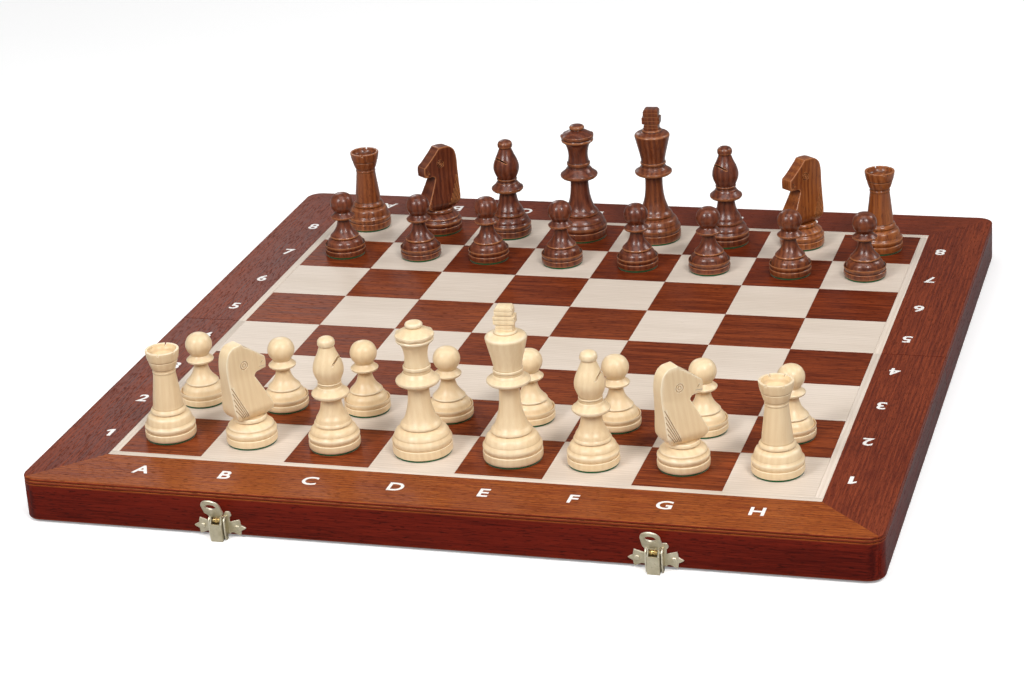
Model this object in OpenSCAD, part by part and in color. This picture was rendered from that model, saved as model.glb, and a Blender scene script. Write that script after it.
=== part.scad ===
// Chess set on a folding board: two hinged wooden trays, inlaid squares, two front latches
// and thirty-two turned and carved pieces on felt. Sizes are in millimetres.

/* [Board] */
// Side of one playing square
square = 50; // [45:1:55]
// Width of the light line around the squares
line_w = 4.7; // [3:0.1:6]
// Width of the wooden border outside the line
border_w = 38.3; // [34:0.1:42]
// Thickness of one half, from its rim to the playing surface
half_h = 25.4; // [25:0.1:32]
// Thickness of the walls of each half
wall_t = 10; // [9:0.5:12]
// Thickness of the board that closes each half
panel_t = 7; // [5:0.5:8]
// Thickness of the inlaid squares and of the line
veneer_t = 1.4; // [1:0.1:2]
// Radius of the outside corners, seen from above
corner_r = 10; // [6:0.5:10]
// Radius of the rounded top edge of the border
edge_r = 2.4; // [1:0.2:3]
// Gap between the two halves where they meet
fold_gap = 0.1; // [0.06:0.02:0.2]

/* [Hinges] */
// Distance between the middles of the two hinges
hinge_span = 260; // [200:10:340]
// Length of one hinge
hinge_len = 40; // [30:5:50]
// Outer radius of the hinge barrel, which is also how far it stands below the rims
barrel_r = 1.5; // [1.4:0.1:1.8]
// Width of one hinge leaf
leaf_w = 8; // [7:0.5:9]

/* [Latches] */
// Distance between the middles of the two latches
latch_span = 246; // [200:2:300]
// Width of the hooked box of a latch
box_w = 6.8; // [6.4:0.2:7]
// Length of the finger tab
tab_len = 19.5; // [16:0.5:22]
// Width of the finger tab
tab_w = 11; // [9:0.5:12]
// How far the finger tab leans out from upright, in degrees
tab_lean = 33; // [28:1:36]

/* [Pieces] */
// Radius of the king's base
king_r = 16.8; // [15:0.1:18]
// Radius of the queen's base
queen_r = 17; // [15:0.1:18]
// Radius of the base of a bishop, knight or rook
officer_r = 14.7; // [13:0.1:16]
// Radius of a pawn's base
pawn_r = 13.6; // [12:0.1:14]
// Thickness of the felt under each piece
felt_t = 0.9; // [0.6:0.1:1.2]
// Thickness of a knight's head
knight_head_t = 9; // [8:0.5:11]

/* [Hidden] */
$fn = 48;
glue = 0.02;                                // joint left between glued pieces
field = 4 * square;                         // half the side of the playing field
inner = field + line_w;                     // where the border starts
outer = inner + border_w;                   // half the side of the board
axis_z = barrel_r;                          // height of the fold axis
rim_z = axis_z + fold_gap / 2;              // height of the rims
top_z = rim_z + half_h;                     // height of the playing surface
veneer_z = top_z - veneer_t;
panel_z = veneer_z - panel_t;               // underside of the panels, top of the walls
lining_t = 0.8;                             // felt glued inside each half

hinge_x = hinge_span / 2;
leaf_t = 0.95;
leaf_in = barrel_r + 0.3;                   // where a leaf starts, clear of the other's knuckles
knuckles = 5;
knuckle_gap = 0.2;
hinge_pin_r = 0.75;
hinge_bore_r = 0.8;
mortise_play = 0.1;
screw_spots = [-14, 0, 14];

latch_x = latch_span / 2;
plate_t = 0.8;
sheet_t = 0.8;
star_x = 10;                                // middle of each side lobe of a latch plate
star_z = 6.3;
star_r = 5.3;
crown_x = 4.3;                              // middle of each upper lobe
crown_z = 14.2;
ear_x = 4;                                  // inner face of the plate's ears
pivot_y = 3.6;                              // lever pin, measured out from the board's face
pivot_z = 11.5;
latch_pin_r = 0.8;
latch_bore_r = 0.86;
box_y = 7.2;                                // front of the hooked box
box_top = 10.4;
hook_low = 0.2;                             // the hook's lower and upper faces
hook_high = 0.75;
tab_y = 3.0;                                // foot of the finger tab's plane
tab_z = 12;
strike_t = 1;
strike_reach = 3.6;                         // how far the strike's lip stands out
shelf_low = 1.65;
shelf_high = 2.15;
lip_w = 4.4;
nail_depth = 8;

// the origin is the middle of the footprint, so the fold line lies a little behind it
tab_reach = tab_y + tab_len * sin(tab_lean) + sheet_t * cos(tab_lean);
seam_y = (tab_reach - strike_reach) / 2;

FILES = ["a", "b", "c", "d", "e", "f", "g", "h"];
// how far each piece stands from the middle of its square, file a first
BACK_WHITE = [[-3, 0], [-3, 0], [-3, 0], [-1, 1], [2, 0], [-2, 0], [-2, 3], [0, 4]];
PAWNS_WHITE = [[-3, 1], [-1, 0], [-1, 2], [0, 0], [-2, 3], [-1, 1], [-1, 2], [-1, 1]];
PAWNS_BLACK = [[-1, 1], [2, 2], [-1, 3], [0, 1], [1, 1], [-1, 0], [2, 0], [0, 1]];
BACK_BLACK = [[-2, 5], [0, 3], [0, 1], [0, 3], [1, 4], [0, 2], [0, 3], [2, 1]];
// the way each knight faces, in degrees from the board's right-hand side
FACING_WHITE = [0, 55, 0, 0, 0, 0, 46, 0];
FACING_BLACK = [0, 232, 0, 0, 0, 0, 232, 0];

mahogany = "#6b2d1c";
dark_wood = "#5a2114";
light_wood = "#e4d6b8";
boxwood = "#ecdcb8";
stained = "#5b2a17";
plywood = "#b58a5c";
baize = "#1f4d33";
brass_tone = "#cbb98a";

// ---- placing ----

// one half of the board: side -1 is the near half, side 1 the far half
module half_place(side) {
    translate([0, seam_y, 0])
        if (side < 0) children();
        else mirror([0, 1, 0]) children();
}

// children drawn with x along the board's face, y out of it and z up
module face_place(side, x) {
    translate([x, seam_y + side * outer, 0])
        if (side < 0) mirror([0, 1, 0]) children();
        else children();
}

module square_place(file, rank, shift) {
    translate([
        (file - 3.5) * square + shift[0],
        (rank - 3.5) * square + shift[1] + seam_y,
        top_z
    ]) children();
}

// ---- the two halves, drawn as the near one ----

// plan of a half, from its rounded front corners back to the fold line
module half_plan() {
    run = outer - corner_r;
    translate([-outer, -run]) square([2 * outer, run - fold_gap / 2]);
    translate([-run, -outer]) square([2 * run, outer - fold_gap / 2]);
    for (s = [-1, 1]) translate([s * run, -run]) circle(corner_r);
}

// the part of a half's plan that belongs to one wall, cut at the mitres
module front_mitre() {
    polygon([[-outer, -outer], [outer, -outer], [outer - 80, -outer + 80 - glue],
        [-outer + 80, -outer + 80 - glue]]);
}

module side_mitre(s) {
    polygon([[s * outer, -outer + glue], [s * (outer - 80), -outer + 80 + glue],
        [s * (outer - 80), 0], [s * outer, 0]]);
}

module wall_plan() {
    difference() {
        half_plan();
        translate([-outer + wall_t, -outer + wall_t]) square([2 * (outer - wall_t), outer]);
    }
}

module frame() {
    wall_h = panel_z - rim_z - glue;
    translate([0, 0, rim_z]) {
        linear_extrude(wall_h) intersection() { wall_plan(); front_mitre(); }
        for (s = [-1, 1]) linear_extrude(wall_h) intersection() { wall_plan(); side_mitre(s); }
    }
    difference() {
        translate([-outer + wall_t + glue, -wall_t, rim_z])
            cube([2 * (outer - wall_t - glue), wall_t - fold_gap / 2, wall_h]);
        for (s = [-1, 1]) translate([s * hinge_x, 0, 0]) {
            translate([-hinge_len / 2 - mortise_play, -leaf_in - leaf_w - mortise_play, 0])
                cube([hinge_len + 2 * mortise_play, 20, rim_z + leaf_t + glue]);
            translate([-hinge_len / 2 - mortise_play, 0, axis_z]) rotate([0, 90, 0])
                cylinder(r = barrel_r + 0.25, h = hinge_len + 2 * mortise_play);
        }
    }
}

module panel() {
    translate([-inner + glue, -inner + glue, panel_z])
        cube([2 * (inner - glue), inner - glue - fold_gap / 2, panel_t]);
}

// what the rounded top edge takes off, as a section with the corner at the origin
module edge_cut() {
    difference() {
        translate([-edge_r, -edge_r]) square([edge_r + 1, edge_r + 1]);
        translate([-edge_r, -edge_r]) circle(edge_r);
    }
}

module edge_rounding() {
    run = outer - corner_r;
    for (s = [-1, 1]) {
        translate([s * outer, 0, top_z]) mirror([s < 0 ? 1 : 0, 0, 0])
            rotate([90, 0, 0]) linear_extrude(run) edge_cut();
        translate([s * run, -run, top_z]) mirror([s < 0 ? 1 : 0, 0, 0])
            rotate([0, 0, -90]) rotate_extrude(angle = 90) translate([corner_r, 0]) edge_cut();
    }
    translate([-run, -outer, top_z]) rotate([90, 0, 90])
        linear_extrude(2 * run) mirror([1, 0]) edge_cut();
}

module border_plan() {
    difference() {
        half_plan();
        translate([-inner, -inner]) square([2 * inner, inner]);
    }
}

module border() {
    difference() {
        translate([0, 0, panel_z]) {
            linear_extrude(top_z - panel_z) intersection() { border_plan(); front_mitre(); }
            for (s = [-1, 1])
                linear_extrude(top_z - panel_z) intersection() { border_plan(); side_mitre(s); }
        }
        edge_rounding();
    }
}

// squares of one colour, parity 0 for the colour of the near left-hand corner
module squares(parity) {
    for (file = [0:7], rank = [0:3]) if ((file + rank) % 2 == parity)
        translate([(file - 4) * square + glue, (rank - 4) * square + glue, veneer_z + glue])
            cube([square - 2 * glue, square - 2 * glue - (rank == 3 ? fold_gap / 2 : 0),
                veneer_t - glue]);
}

module stringing() {
    h = veneer_t - glue;
    translate([-inner + glue, -inner + glue, veneer_z + glue])
        cube([2 * (inner - glue), line_w - 2 * glue, h]);
    for (s = [-1, 1])
        translate([s * (field + line_w / 2) - line_w / 2 + glue, -field + glue, veneer_z + glue])
            cube([line_w - 2 * glue, field - fold_gap / 2 - glue, h]);
}

module lining() {
    room = outer - wall_t - 0.5;
    translate([-room, -room, panel_z - lining_t - glue])
        cube([2 * room, room - wall_t - 0.5, lining_t]);
}

// ---- hinges, drawn as the near leaf ----

// knuckles from first in steps of two, and the leaf that they belong to
module hinge_leaf(first) {
    pitch = hinge_len / knuckles;
    difference() {
        union() {
            translate([-hinge_len / 2, -leaf_in - leaf_w, rim_z])
                cube([hinge_len, leaf_w, leaf_t]);
            for (k = [first:2:knuckles - 1])
                translate([-hinge_len / 2 + k * pitch + knuckle_gap / 2, 0, axis_z]) {
                    rotate([0, 90, 0]) cylinder(r = barrel_r, h = pitch - knuckle_gap);
                    translate([0, -leaf_in - 1, fold_gap / 2])
                        cube([pitch - knuckle_gap, leaf_in + 0.5, leaf_t]);
                }
        }
        translate([-hinge_len, 0, axis_z]) rotate([0, 90, 0])
            cylinder(r = hinge_bore_r, h = 2 * hinge_len);
    }
}

module leaf_screw() {
    translate([0, 0, rim_z]) {
        cylinder(r1 = 1.9, r2 = 0.9, h = leaf_t);
        cylinder(r = 0.9, h = 9);
    }
}

module leaf_screws() {
    for (s = [-1, 1], x = screw_spots)
        translate([s * hinge_x + x, -leaf_in - leaf_w / 2, 0]) leaf_screw();
}

// ---- latches, drawn with y out of the board's face ----

// a flat sheet standing on the face, drawn as x along the face and y up
module standing(t) {
    translate([0, t, 0]) rotate([90, 0, 0]) linear_extrude(t) children();
}

// a cheek, drawn as x out of the face and y up, from side to side
module cheek(x, t) {
    translate([x, 0, 0]) rotate([90, 0, 90]) linear_extrude(t) children();
}

module star(r) {
    polygon([for (k = [0:11]) (k % 2 ? 0.7 * r : r) * [cos(30 * k), sin(30 * k)]]);
}

module across(r, half_w) {
    translate([-half_w, pivot_y, pivot_z]) rotate([0, 90, 0]) cylinder(r = r, h = 2 * half_w);
}

module latch_plate() {
    ear_t = sheet_t;
    standing(plate_t) {
        for (s = [-1, 1]) {
            translate([s * star_x, star_z]) star(star_r);
            translate([s * crown_x, crown_z]) star(0.75 * star_r);
        }
        translate([-7, rim_z + 0.5]) square([14, 11]);
    }
    difference() {
        for (x = [-ear_x - ear_t, ear_x]) cheek(x, ear_t)
            polygon([[0.4, 2.4], [1.4, 2.4], [1.4, 0], [4.4, 0], [5.4, 4], [5.4, 12],
                [3.8, 13.6], [0.4, 13.6]]);
        across(latch_bore_r, 8);
    }
}

module tab_plan() {
    straight = tab_len - tab_w / 2;
    foot_w = box_w - sheet_t;               // the foot ends inside the cheeks' thickness
    difference() {
        union() {
            polygon([[-foot_w / 2, 2.5], [foot_w / 2, 2.5], [foot_w / 2, 4.4], [tab_w / 2, 7],
                [tab_w / 2, straight], [-tab_w / 2, straight], [-tab_w / 2, 7],
                [-foot_w / 2, 4.4]]);
            translate([0, straight]) circle(tab_w / 2);
        }
        translate([0, straight - 0.5]) {
            square([2.6, 2.4], center = true);
            for (s = [-1, 1]) translate([s * 1.3, 0]) circle(1.2);
        }
    }
}

module latch_lever() {
    difference() {
        union() {
            for (x = [-box_w / 2, box_w / 2 - sheet_t]) {
                cheek(x, sheet_t)
                    polygon([[2.4, hook_low], [box_y, hook_low], [box_y, box_top], [5.9, 12.6],
                        [5.7, 15.2], [4.5, 14.7], [2.2, 10]]);
                translate([x, pivot_y, pivot_z]) rotate([0, 90, 0])
                    cylinder(r = 2, h = sheet_t);
            }
            translate([-box_w / 2, box_y - sheet_t, hook_low])
                cube([box_w, sheet_t, box_top - hook_low]);
            translate([-box_w / 2, 2.4, hook_low])
                cube([box_w, box_y - 2.4, hook_high - hook_low]);
            translate([0, tab_y, tab_z]) rotate([-tab_lean, 0, 0])
                standing(sheet_t) tab_plan();
        }
        across(latch_bore_r, 8);
    }
}

module latch_spring() {
    difference() {
        across(1.6, 2);
        across(1.1, 3);
    }
}

// a round-headed nail, its head on a plate that stands t off the face
module nail(t) {
    head_h = 0.6;
    translate([0, t, 0]) rotate([-90, 0, 0]) cylinder(r1 = 1.5, r2 = 0.8, h = head_h);
    translate([0, t + head_h / 2, 0]) rotate([90, 0, 0])
        cylinder(r = 0.6, h = nail_depth + t + head_h / 2);
}

module strike() {
    standing(strike_t) polygon([[-7, 1.7], [7, 1.7], [8.5, 4], [8.5, 9], [7, 11],
        [-7, 11], [-8.5, 9], [-8.5, 4]]);
    translate([-lip_w / 2, strike_t / 2, shelf_low])
        cube([lip_w, strike_reach - strike_t / 2, shelf_high - shelf_low]);
    translate([-lip_w / 2, strike_reach - 1, 0]) cube([lip_w, 1, shelf_high]);
}

// ---- chess pieces ----

// foot, groove, band and shoulder that every piece of radius r shares, up to its neck ring
function foot(r, low, band) = [
    [0, felt_t + glue], [r - 0.4, felt_t + glue], [r, 2], [r, low - 0.4], [r - 0.8, low],
    [r - 0.2, low + 0.5], [r - 0.3, band - 0.4], [r - 0.8, band]
];
function shoulder(r, band, neck_r, neck_z) = [
    [r - 0.5, band + 1.2], [r - 1, band + 2.6], [r - 2.4, neck_z - 2], [neck_r + 1.2, neck_z - 0.6],
    [neck_r - 0.6, neck_z]
];

king_turning = concat(foot(king_r, 6.2, 9.6), shoulder(king_r, 9.6, 11.4, 15.6), [
    [11.4, 16.2], [11.4, 17.6], [10.6, 19.4], [8.6, 23.2], [7.2, 27.2], [6.4, 31.2], [5.9, 36],
    [5.8, 42.6], [6.6, 43.4], [10.6, 44.4], [12.1, 45.8], [12.5, 47.4], [12.0, 49], [9.4, 50.4],
    [8.1, 50.8], [8.0, 52.2], [8.4, 53], [8.4, 54.4], [7.8, 55], [8.2, 56.4], [9.2, 61],
    [10.5, 66], [11.5, 70.4], [11.6, 71.8], [11, 73], [8.8, 74.6], [6.6, 75.2], [6.6, 76.4],
    [0, 77]
]);
queen_turning = concat(foot(queen_r, 6.2, 9.6), shoulder(queen_r, 9.6, 11.5, 15.6), [
    [11.5, 16.2], [11.5, 17.4], [10.6, 19], [8.5, 23], [7, 28], [6.3, 33], [6.0, 39.6],
    [7, 40.8], [10.8, 42], [12.1, 43.8], [12.2, 45.2], [11.2, 47], [8.4, 49], [7.3, 49.6],
    [7.2, 51], [7.6, 52], [7.5, 53.6], [6.7, 54.4], [6.5, 58], [7, 62], [8.2, 65], [10, 67],
    [10.5, 68.2], [10.1, 69.2], [10.9, 70.2], [11.1, 71.6], [10.2, 73.2], [7.4, 75.2],
    [4.4, 76.2], [4.7, 77], [4.8, 77.8], [4.2, 78.8], [2.4, 79.4], [0, 79.6]
]);
bishop_turning = concat(foot(officer_r, 5.4, 8.4), shoulder(officer_r, 8.4, 10.5, 14), [
    [10.6, 14.6], [10.7, 16.4], [10, 17.6], [8, 20.4], [6.6, 24], [5.9, 27.4], [5.6, 30],
    [6.6, 30.6], [9.4, 31.4], [10.5, 33], [10.5, 34.6], [9.6, 36.2], [7.2, 37.6], [6.5, 38.2],
    [6.5, 39.6], [6, 40.4], [7, 42], [8.3, 45], [8.6, 47.8], [8.3, 50.4], [7.3, 54], [5.8, 58],
    [4.4, 60.6], [4.1, 61.2], [4.7, 62], [4.9, 63.6], [4.5, 65.2], [3.2, 66.3], [1.4, 66.8],
    [0, 66.8]
]);
rook_turning = concat(foot(officer_r, 5.4, 8.4), shoulder(officer_r, 8.4, 9.6, 14.6), [
    [9.6, 15.4], [9.6, 17], [9, 17.8], [8.2, 24], [7.4, 31], [6.6, 39.6], [6.3, 40.4],
    [6.7, 41], [6.5, 42.4], [7, 43], [8.4, 47], [8.2, 47.8], [8.9, 48.4], [9.5, 51.6],
    [9.6, 54], [8.2, 54], [7.6, 51], [6.4, 50.2], [0, 50]
]);
pawn_turning = concat(foot(pawn_r, 4.6, 6.8), [
    [pawn_r - 0.5, 7.8], [pawn_r - 1.2, 9], [pawn_r - 3.4, 11.4], [9, 12.8], [8.8, 13.8],
    [8.4, 15], [6.6, 17.6], [5.2, 20.6], [4.5, 23.6], [4.4, 25.4], [6.4, 26], [7.7, 27.2],
    [7.9, 28.6], [7.4, 30], [5.8, 31], [5.4, 31.4], [6.6, 32.6], [7.7, 34.8], [7.9, 36.8],
    [7.6, 39], [6.4, 41.4], [4.4, 43], [2, 43.8], [0, 43.9]
]);
knight_base_turning = concat(foot(officer_r, 5.4, 8.4), shoulder(officer_r, 8.4, 9.4, 14), [
    [9.4, 14.6], [9.4, 15.6], [8.8, 16.4], [0, 16.4]
]);

module turned(points) {
    rotate_extrude() polygon(points);
}

module felt(r) {
    color(baize) cylinder(r = r - 0.7, h = felt_t);
}

module turned_piece(shade, r, points) {
    color(shade) turned(points);
    felt(r);
}

// block finial of the king, wider at its arms than at its neck and its head
module king_finial() {
    depth = 8.4;
    translate([0, depth / 2, 0]) rotate([90, 0, 0]) linear_extrude(depth)
        polygon([[-4.8, 76], [4.8, 76], [4.6, 80.4], [5.9, 81], [5.9, 85.6], [4.6, 86.2],
            [5, 88.8], [3.4, 90.8], [-3.4, 90.8], [-5, 88.8], [-4.6, 86.2], [-5.9, 85.6],
            [-5.9, 81], [-4.6, 80.4]]);
}

module king(shade) {
    color(shade) {
        turned(king_turning);
        king_finial();
    }
    felt(king_r);
}

// slanting saw cut in a bishop's mitre, facing the way given
module bishop(shade, facing) {
    color(shade) difference() {
        turned(bishop_turning);
        rotate([0, 0, facing]) translate([7.2, 0, 51]) rotate([0, 52, 0])
            cube([1.1, 20, 9], center = true);
    }
    felt(officer_r);
}

// side view of the knight's head and neck, nose to the right
module knight_side() {
    polygon([[-9, 15.8], [-13, 18.4], [-13.8, 21], [-13.6, 42], [-13.3, 53], [-11.6, 57.6],
        [-8, 60.4], [-3.6, 61.6], [-1.6, 60.4], [0.4, 60], [1.2, 57], [3, 55.4], [8.8, 50],
        [12.4, 46.4], [12.8, 45], [12.6, 40.4], [8, 39.6], [5, 38.8], [4.6, 37.6],
        [12.8, 21.4], [12.4, 18.8], [9, 15.8]]);
}

// front view of the knight's head and neck, broad below and slim above
module knight_front() {
    low = 17;
    top = knight_head_t;
    polygon([[-low / 2, 15.8], [low / 2, 15.8], [low / 2, 20], [top / 2 + 0.6, 42],
        [top / 2, 62], [-top / 2, 62], [-top / 2 - 0.6, 42], [-low / 2, 20]]);
}

module knight(shade, facing) {
    color(shade) {
        turned(knight_base_turning);
        rotate([0, 0, facing]) intersection() {
            translate([0, 20, 0]) rotate([90, 0, 0]) linear_extrude(40) knight_side();
            translate([-20, 0, 0]) rotate([90, 0, 90]) linear_extrude(40) knight_front();
        }
    }
    felt(officer_r);
}

module pawn(shade) turned_piece(shade, pawn_r, pawn_turning);
module rook(shade) turned_piece(shade, officer_r, rook_turning);
module queen(shade) turned_piece(shade, queen_r, queen_turning);

// the piece of the back row that stands on a file
module back_piece(shade, file, facing) {
    if (file == 0 || file == 7) rook(shade);
    if (file == 1 || file == 6) knight(shade, facing);
    if (file == 2 || file == 5) bishop(shade, shade == boxwood ? 8 : 232);
    if (file == 3) queen(shade);
    if (file == 4) king(shade);
}

module white_back(file) {
    square_place(file, 0, BACK_WHITE[file]) back_piece(boxwood, file, FACING_WHITE[file]);
}

module black_back(file) {
    square_place(file, 7, BACK_BLACK[file]) back_piece(stained, file, FACING_BLACK[file]);
}

// ---- the nodes ----

module near_frame() color(mahogany) half_place(-1) frame();
module near_panel() color(plywood) half_place(-1) panel();
module near_border() color(mahogany) half_place(-1) border();
module near_dark_squares() color(dark_wood) half_place(-1) squares(0);
module near_light_squares() color(light_wood) half_place(-1) squares(1);
module near_stringing() color(light_wood) half_place(-1) stringing();
module near_lining() color(baize) half_place(-1) lining();

module far_frame() color(mahogany) half_place(1) frame();
module far_panel() color(plywood) half_place(1) panel();
module far_border() color(mahogany) half_place(1) border();
module far_dark_squares() color(dark_wood) half_place(1) squares(1);
module far_light_squares() color(light_wood) half_place(1) squares(0);
module far_stringing() color(light_wood) half_place(1) stringing();
module far_lining() color(baize) half_place(1) lining();

module hinge_near_leaves() color(brass_tone)
    for (s = [-1, 1]) half_place(-1) translate([s * hinge_x, 0, 0]) hinge_leaf(0);
module hinge_far_leaves() color(brass_tone)
    for (s = [-1, 1]) half_place(1) translate([s * hinge_x, 0, 0]) hinge_leaf(1);
module hinge_pins() color(brass_tone)
    for (s = [-1, 1]) translate([s * hinge_x - hinge_len / 2, seam_y, axis_z])
        rotate([0, 90, 0]) cylinder(r = hinge_pin_r, h = hinge_len);
module hinge_near_screws() color(brass_tone) half_place(-1) leaf_screws();
module hinge_far_screws() color(brass_tone) half_place(1) leaf_screws();

module latch_plates() color(brass_tone)
    for (s = [-1, 1]) face_place(-1, s * latch_x) latch_plate();
module latch_pins() color(brass_tone)
    for (s = [-1, 1]) face_place(-1, s * latch_x) across(latch_pin_r, ear_x + sheet_t);
module latch_springs() color("goldenrod")
    for (s = [-1, 1]) face_place(-1, s * latch_x) latch_spring();
module latch_nails() color(brass_tone)
    for (s = [-1, 1], t = [-1, 1]) face_place(-1, s * latch_x)
        translate([t * star_x, 0, star_z]) nail(plate_t);
module latch_left_lever() color(brass_tone) face_place(-1, -latch_x) latch_lever();
module latch_right_lever() color(brass_tone) face_place(-1, latch_x) latch_lever();
module strikes() color(brass_tone)
    for (s = [-1, 1]) face_place(1, s * latch_x) strike();
module strike_nails() color(brass_tone)
    for (s = [-1, 1], t = [-1, 1]) face_place(1, s * latch_x)
        translate([t * 5.5, 0, 7]) nail(strike_t);

near_frame();
near_panel();
near_border();
near_dark_squares();
near_light_squares();
near_stringing();
near_lining();
far_frame();
far_panel();
far_border();
far_dark_squares();
far_light_squares();
far_stringing();
far_lining();
hinge_near_leaves();
hinge_far_leaves();
hinge_pins();
hinge_near_screws();
hinge_far_screws();
latch_plates();
latch_pins();
latch_springs();
latch_nails();
latch_left_lever();
latch_right_lever();
strikes();
strike_nails();
white_back(4);  // white_king
white_back(3);  // white_queen
white_back(2);  // white_bishop_c
white_back(5);  // white_bishop_f
white_back(1);  // white_knight_b
white_back(6);  // white_knight_g
white_back(0);  // white_rook_a
white_back(7);  // white_rook_h
black_back(4);  // black_king
black_back(3);  // black_queen
black_back(2);  // black_bishop_c
black_back(5);  // black_bishop_f
black_back(1);  // black_knight_b
black_back(6);  // black_knight_g
black_back(0);  // black_rook_a
black_back(7);  // black_rook_h
for (file = [0:7]) {
    square_place(file, 1, PAWNS_WHITE[file]) pawn(boxwood);
    square_place(file, 6, PAWNS_BLACK[file]) pawn(stained);
}
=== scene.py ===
import math
import random

import bmesh
import bpy
import numpy as np
from mathutils import Matrix, Vector


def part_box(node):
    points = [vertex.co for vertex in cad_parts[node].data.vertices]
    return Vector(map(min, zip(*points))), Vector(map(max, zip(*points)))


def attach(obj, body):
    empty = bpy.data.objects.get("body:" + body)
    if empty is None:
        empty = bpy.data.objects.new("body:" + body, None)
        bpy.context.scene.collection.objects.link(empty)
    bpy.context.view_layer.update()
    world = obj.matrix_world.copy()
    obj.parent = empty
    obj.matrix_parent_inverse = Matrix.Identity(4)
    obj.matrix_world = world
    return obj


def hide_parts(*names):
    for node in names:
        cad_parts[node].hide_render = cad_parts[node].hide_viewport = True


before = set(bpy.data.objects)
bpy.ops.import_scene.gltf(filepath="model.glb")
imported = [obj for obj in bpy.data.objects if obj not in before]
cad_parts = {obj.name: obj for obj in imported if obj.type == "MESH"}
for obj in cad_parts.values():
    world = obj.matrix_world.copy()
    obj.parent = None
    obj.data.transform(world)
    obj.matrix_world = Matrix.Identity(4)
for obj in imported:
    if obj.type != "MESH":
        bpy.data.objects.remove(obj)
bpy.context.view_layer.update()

# ---- the board's main lines, from the frame, in metres ----

MM = 0.001
TO_METRES = Matrix.Scale(MM, 4)
near_low, near_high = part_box("near_border")
far_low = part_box("far_border")[0]
top_z = near_high.z                          # playing surface
fold_y = (near_high.y + far_low.y) / 2       # fold line
outer = near_high.x                          # half the side of the board
border_low = near_low.z                      # underside of the border strips
tiles_low, tiles_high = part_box("near_dark_squares")
field = (tiles_high.x - tiles_low.x) / 2     # half the side of the playing field
square = field / 4
veneer_z = tiles_low.z
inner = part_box("near_stringing")[1].x        # inner edge of the border
BORDER_W = (outer - inner) / MM              # width of the border, mm
wall_low, wall_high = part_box("near_frame")
CORNER_R = 10 * MM                           # outside corners, seen from above
TOP_EDGE = 0.8                               # rounding of the border's top edge, mm
WALL_T = 10 * MM
FOLD_GAP = 0.25 * MM                         # each half's eased end at the fold


# ---- node helpers ----

def put(tree, kind, inputs=None, **settings):
    """Adds a node; an input is a socket to link or a value to set."""
    node = tree.nodes.new(kind)
    for key, value in settings.items():
        setattr(node, key, value)
    for key, value in (inputs or {}).items():
        if isinstance(value, bpy.types.NodeSocket):
            tree.links.new(value, node.inputs[key])
        else:
            node.inputs[key].default_value = value
    return node


def calc(tree, operation, *values):
    return put(tree, "ShaderNodeMath", dict(enumerate(values)), operation=operation).outputs[0]


def vector_calc(tree, operation, *values):
    node = put(tree, "ShaderNodeVectorMath", dict(enumerate(values)), operation=operation)
    return node.outputs[0]


def mixed(tree, amount, first, second):
    return put(tree, "ShaderNodeMix", {0: amount, 6: first, 7: second},
               data_type="RGBA").outputs[2]


def stepped(tree, value, low, high):
    return put(tree, "ShaderNodeMapRange", {"Value": value, "From Min": low, "From Max": high},
               interpolation_type="SMOOTHSTEP").outputs[0]


def noise(tree, where, scale, detail=2.0, rough=0.5, distort=0.0):
    return put(tree, "ShaderNodeTexNoise", {"Vector": where, "Scale": scale, "Detail": detail,
               "Roughness": rough, "Distortion": distort}).outputs[0]


def rgb(code):
    """A colour from its usual six-figure code."""
    parts = [int(code[i:i + 2], 16) / 255 for i in (0, 2, 4)]
    return tuple(c / 12.92 if c <= 0.04045 else ((c + 0.055) / 1.055) ** 2.4 for c in parts) + (1,)


# ---- shader groups shared by the materials ----

def shader_group(name, sockets, results):
    tree = bpy.data.node_groups.new(name, "ShaderNodeTree")
    for label, kind, value in sockets:
        socket = tree.interface.new_socket(label, in_out="INPUT", socket_type="NodeSocket" + kind)
        if value is not None:
            socket.default_value = value
    for label in results:
        tree.interface.new_socket(label, in_out="OUTPUT", socket_type="NodeSocketFloat")
    given = tree.nodes.new("NodeGroupInput").outputs
    return tree, given, tree.nodes.new("NodeGroupOutput")


def answer(tree, out, **values):
    """Links the sockets to the inputs of the same name, a space where the name has _."""
    for label, socket in values.items():
        tree.links.new(socket, out.inputs[label.replace("_", " ")])


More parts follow.
